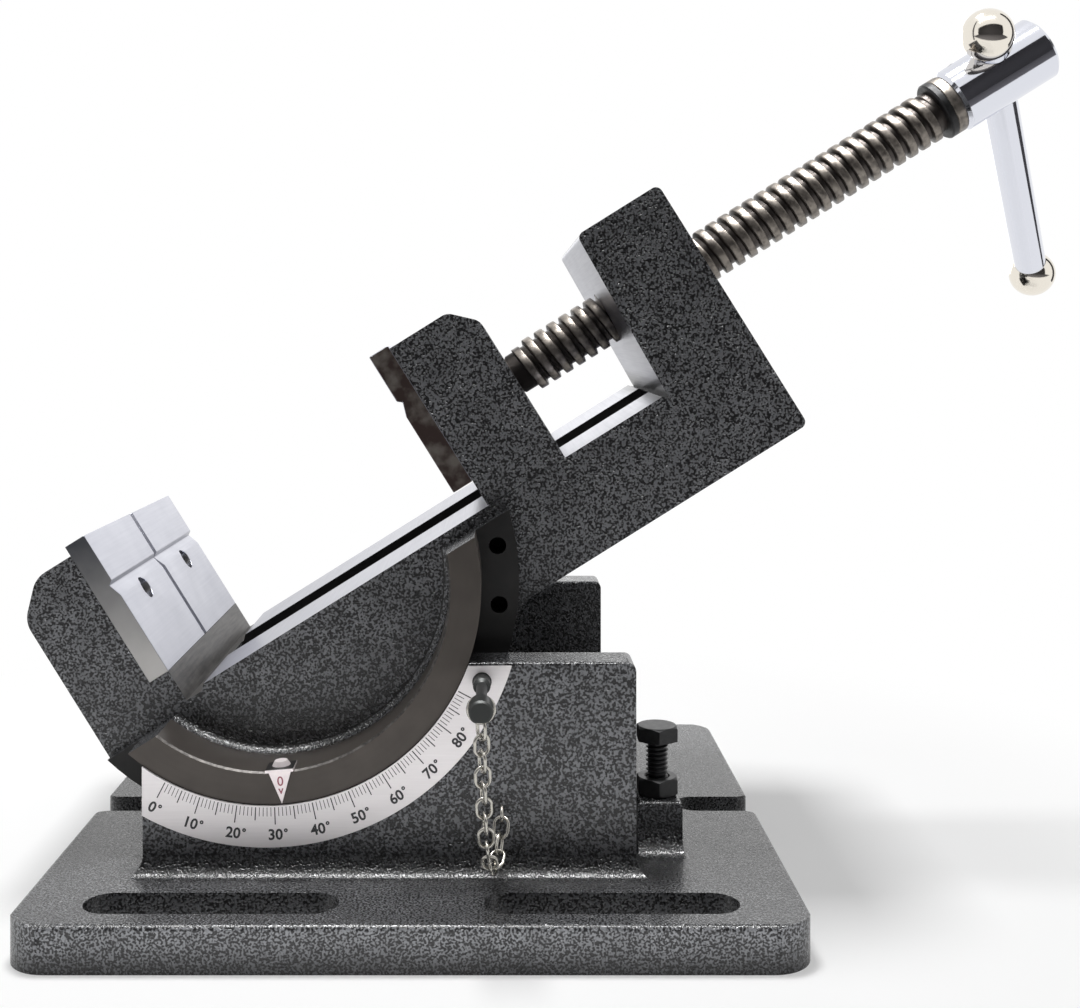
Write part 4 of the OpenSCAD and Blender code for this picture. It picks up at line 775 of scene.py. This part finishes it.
floor_mesh = bpy.data.meshes.new("floor")
floor_mesh.from_pydata([(-FLOOR_X, FLOOR_FRONT, 0), (FLOOR_X, FLOOR_FRONT, 0), (FLOOR_X, FLOOR_BACK, 0),
                        (-FLOOR_X, FLOOR_BACK, 0)], [], [(0, 1, 2, 3)])
floor = linked("floor", floor_mesh)

# White paper: matt near white that keeps the shadow, and fades into the white surround further out.
paper, tree, shader = start_finish("white_paper_floor", Base_Color=linear("#f6f6f6"), Roughness=0.9)
floor_mesh.materials.append(paper)
place = add(tree, "ShaderNodeTexCoord").outputs["Object"]
away = add(tree, "ShaderNodeVectorMath", {0: place}, operation="LENGTH").outputs["Value"]
faded = add(tree, "ShaderNodeMapRange", {"Value": away, "From Min": FADE_FROM, "From Max": FADE_TO,
                                         "To Min": 0.4}, interpolation_type="SMOOTHSTEP").outputs["Result"]
share = add(tree, "ShaderNodeMath", {0: seen_rays(tree), 1: faded}, operation="MULTIPLY").outputs[0]
glow = add(tree, "ShaderNodeEmission", {"Color": (1, 1, 1, 1), "Strength": 1.0}).outputs[0]
paper_mix = add(tree, "ShaderNodeMixShader", {0: share, 1: shader.outputs[0], 2: glow}).outputs[0]
tree.links.new(paper_mix, tree.nodes["Material Output"].inputs["Surface"])

# The surround is plain white where it is seen, and lights the object only from above. In its number mode a
# Mix node has its two values at other sockets.
FIRST_NUMBER, SECOND_NUMBER = 2, 3
world = bpy.data.worlds.new("white_surround")
bpy.context.scene.world = world
world.use_nodes = True
tree = world.node_tree
ray = add(tree, "ShaderNodeTexCoord").outputs["Generated"]
upward = add(tree, "ShaderNodeSeparateXYZ", {0: ray}).outputs["Z"]
dome = add(tree, "ShaderNodeMapRange", {"Value": upward, "To Max": 0.3}).outputs["Result"]
level = add(tree, "ShaderNodeMix", {FACTOR: seen_rays(tree), FIRST_NUMBER: dome,
                                    SECOND_NUMBER: 1.0}).outputs[0]
tree.links.new(level, tree.nodes["Background"].inputs["Strength"])
tree.nodes["Background"].inputs["Color"].default_value = (1, 1, 1, 1)

# The strip lamp only makes highlights, and mirrors don't show the lamp in the table.
for name, spot, turn, wide, deep, power in (("lamp_above", (-0.1, 0.08, 1.0), 0, 0.24, 0.24, 8.8),
                                            ("lamp_strip", (0.0, -0.3, 1.0), 18, 0.8, 0.04, 14.0),
                                            ("lamp_behind", (0.05, 1.0, 0.4), -70, 0.9, 0.4, 0.9),
                                            ("lamp_in_table", (0.0, -0.125, 0.002), 180, 0.7, 0.05, 0.56)):
    lamp = bpy.data.lights.new(name, "AREA")
    lamp.shape, lamp.size, lamp.size_y, lamp.energy = "RECTANGLE", wide, deep, power
    holder = linked(name, lamp)
    holder.location, holder.rotation_euler = spot, (radians(turn), 0, 0)
    holder.visible_camera = False
    holder.visible_glossy = name != "lamp_in_table"
    holder.visible_diffuse = name != "lamp_strip"

# Dark grey cards behind the camera, at both sides and on the table in front give polished metal its dark
# bands; only reflections see them.
card_mesh = bpy.data.meshes.new("dark_cards")
card_mesh.from_pydata([(-2, -1.3, 0), (1.6, -1.3, 0), (1.6, -1.3, 1.2), (-2, -1.3, 1.2),
                       (-1.3, -0.3, -0.3), (-1.3, -0.12, -0.3), (-1.3, -0.12, 2), (-1.3, -0.3, 2),
                       (1.3, 0.2, -0.2), (1.3, 0.6, -0.2), (1.3, 0.6, 2), (1.3, 0.2, 2),
                       (-2, -1.3, 0), (1.6, -1.3, 0), (1.6, -0.34, 0), (-2, -0.34, 0)], [],
                      [(0, 1, 2, 3), (4, 5, 6, 7), (8, 9, 10, 11), (12, 13, 14, 15)])
card = linked("dark_cards", card_mesh)
card.visible_camera = card.visible_diffuse = card.visible_shadow = False
grey_card = start_finish("grey_card", Base_Color=linear("#7b797d"), Roughness=0.9)[0]
card_mesh.materials.append(grey_card)

# The camera stands level where the photo was taken from; its shift moves the picture instead of tilting it.
camera_data = bpy.data.cameras.new("camera")
camera_data.sensor_width, camera_data.lens = 36, 46.667
camera_data.shift_x, camera_data.shift_y = 0.041667, -0.1519
camera = linked("camera", camera_data)
camera.location = (0.0212, -0.4327, 0.1553)
camera.rotation_euler = (radians(90), 0, 0)
bpy.context.scene.camera = camera
bpy.context.scene.view_settings.view_transform = "Standard"
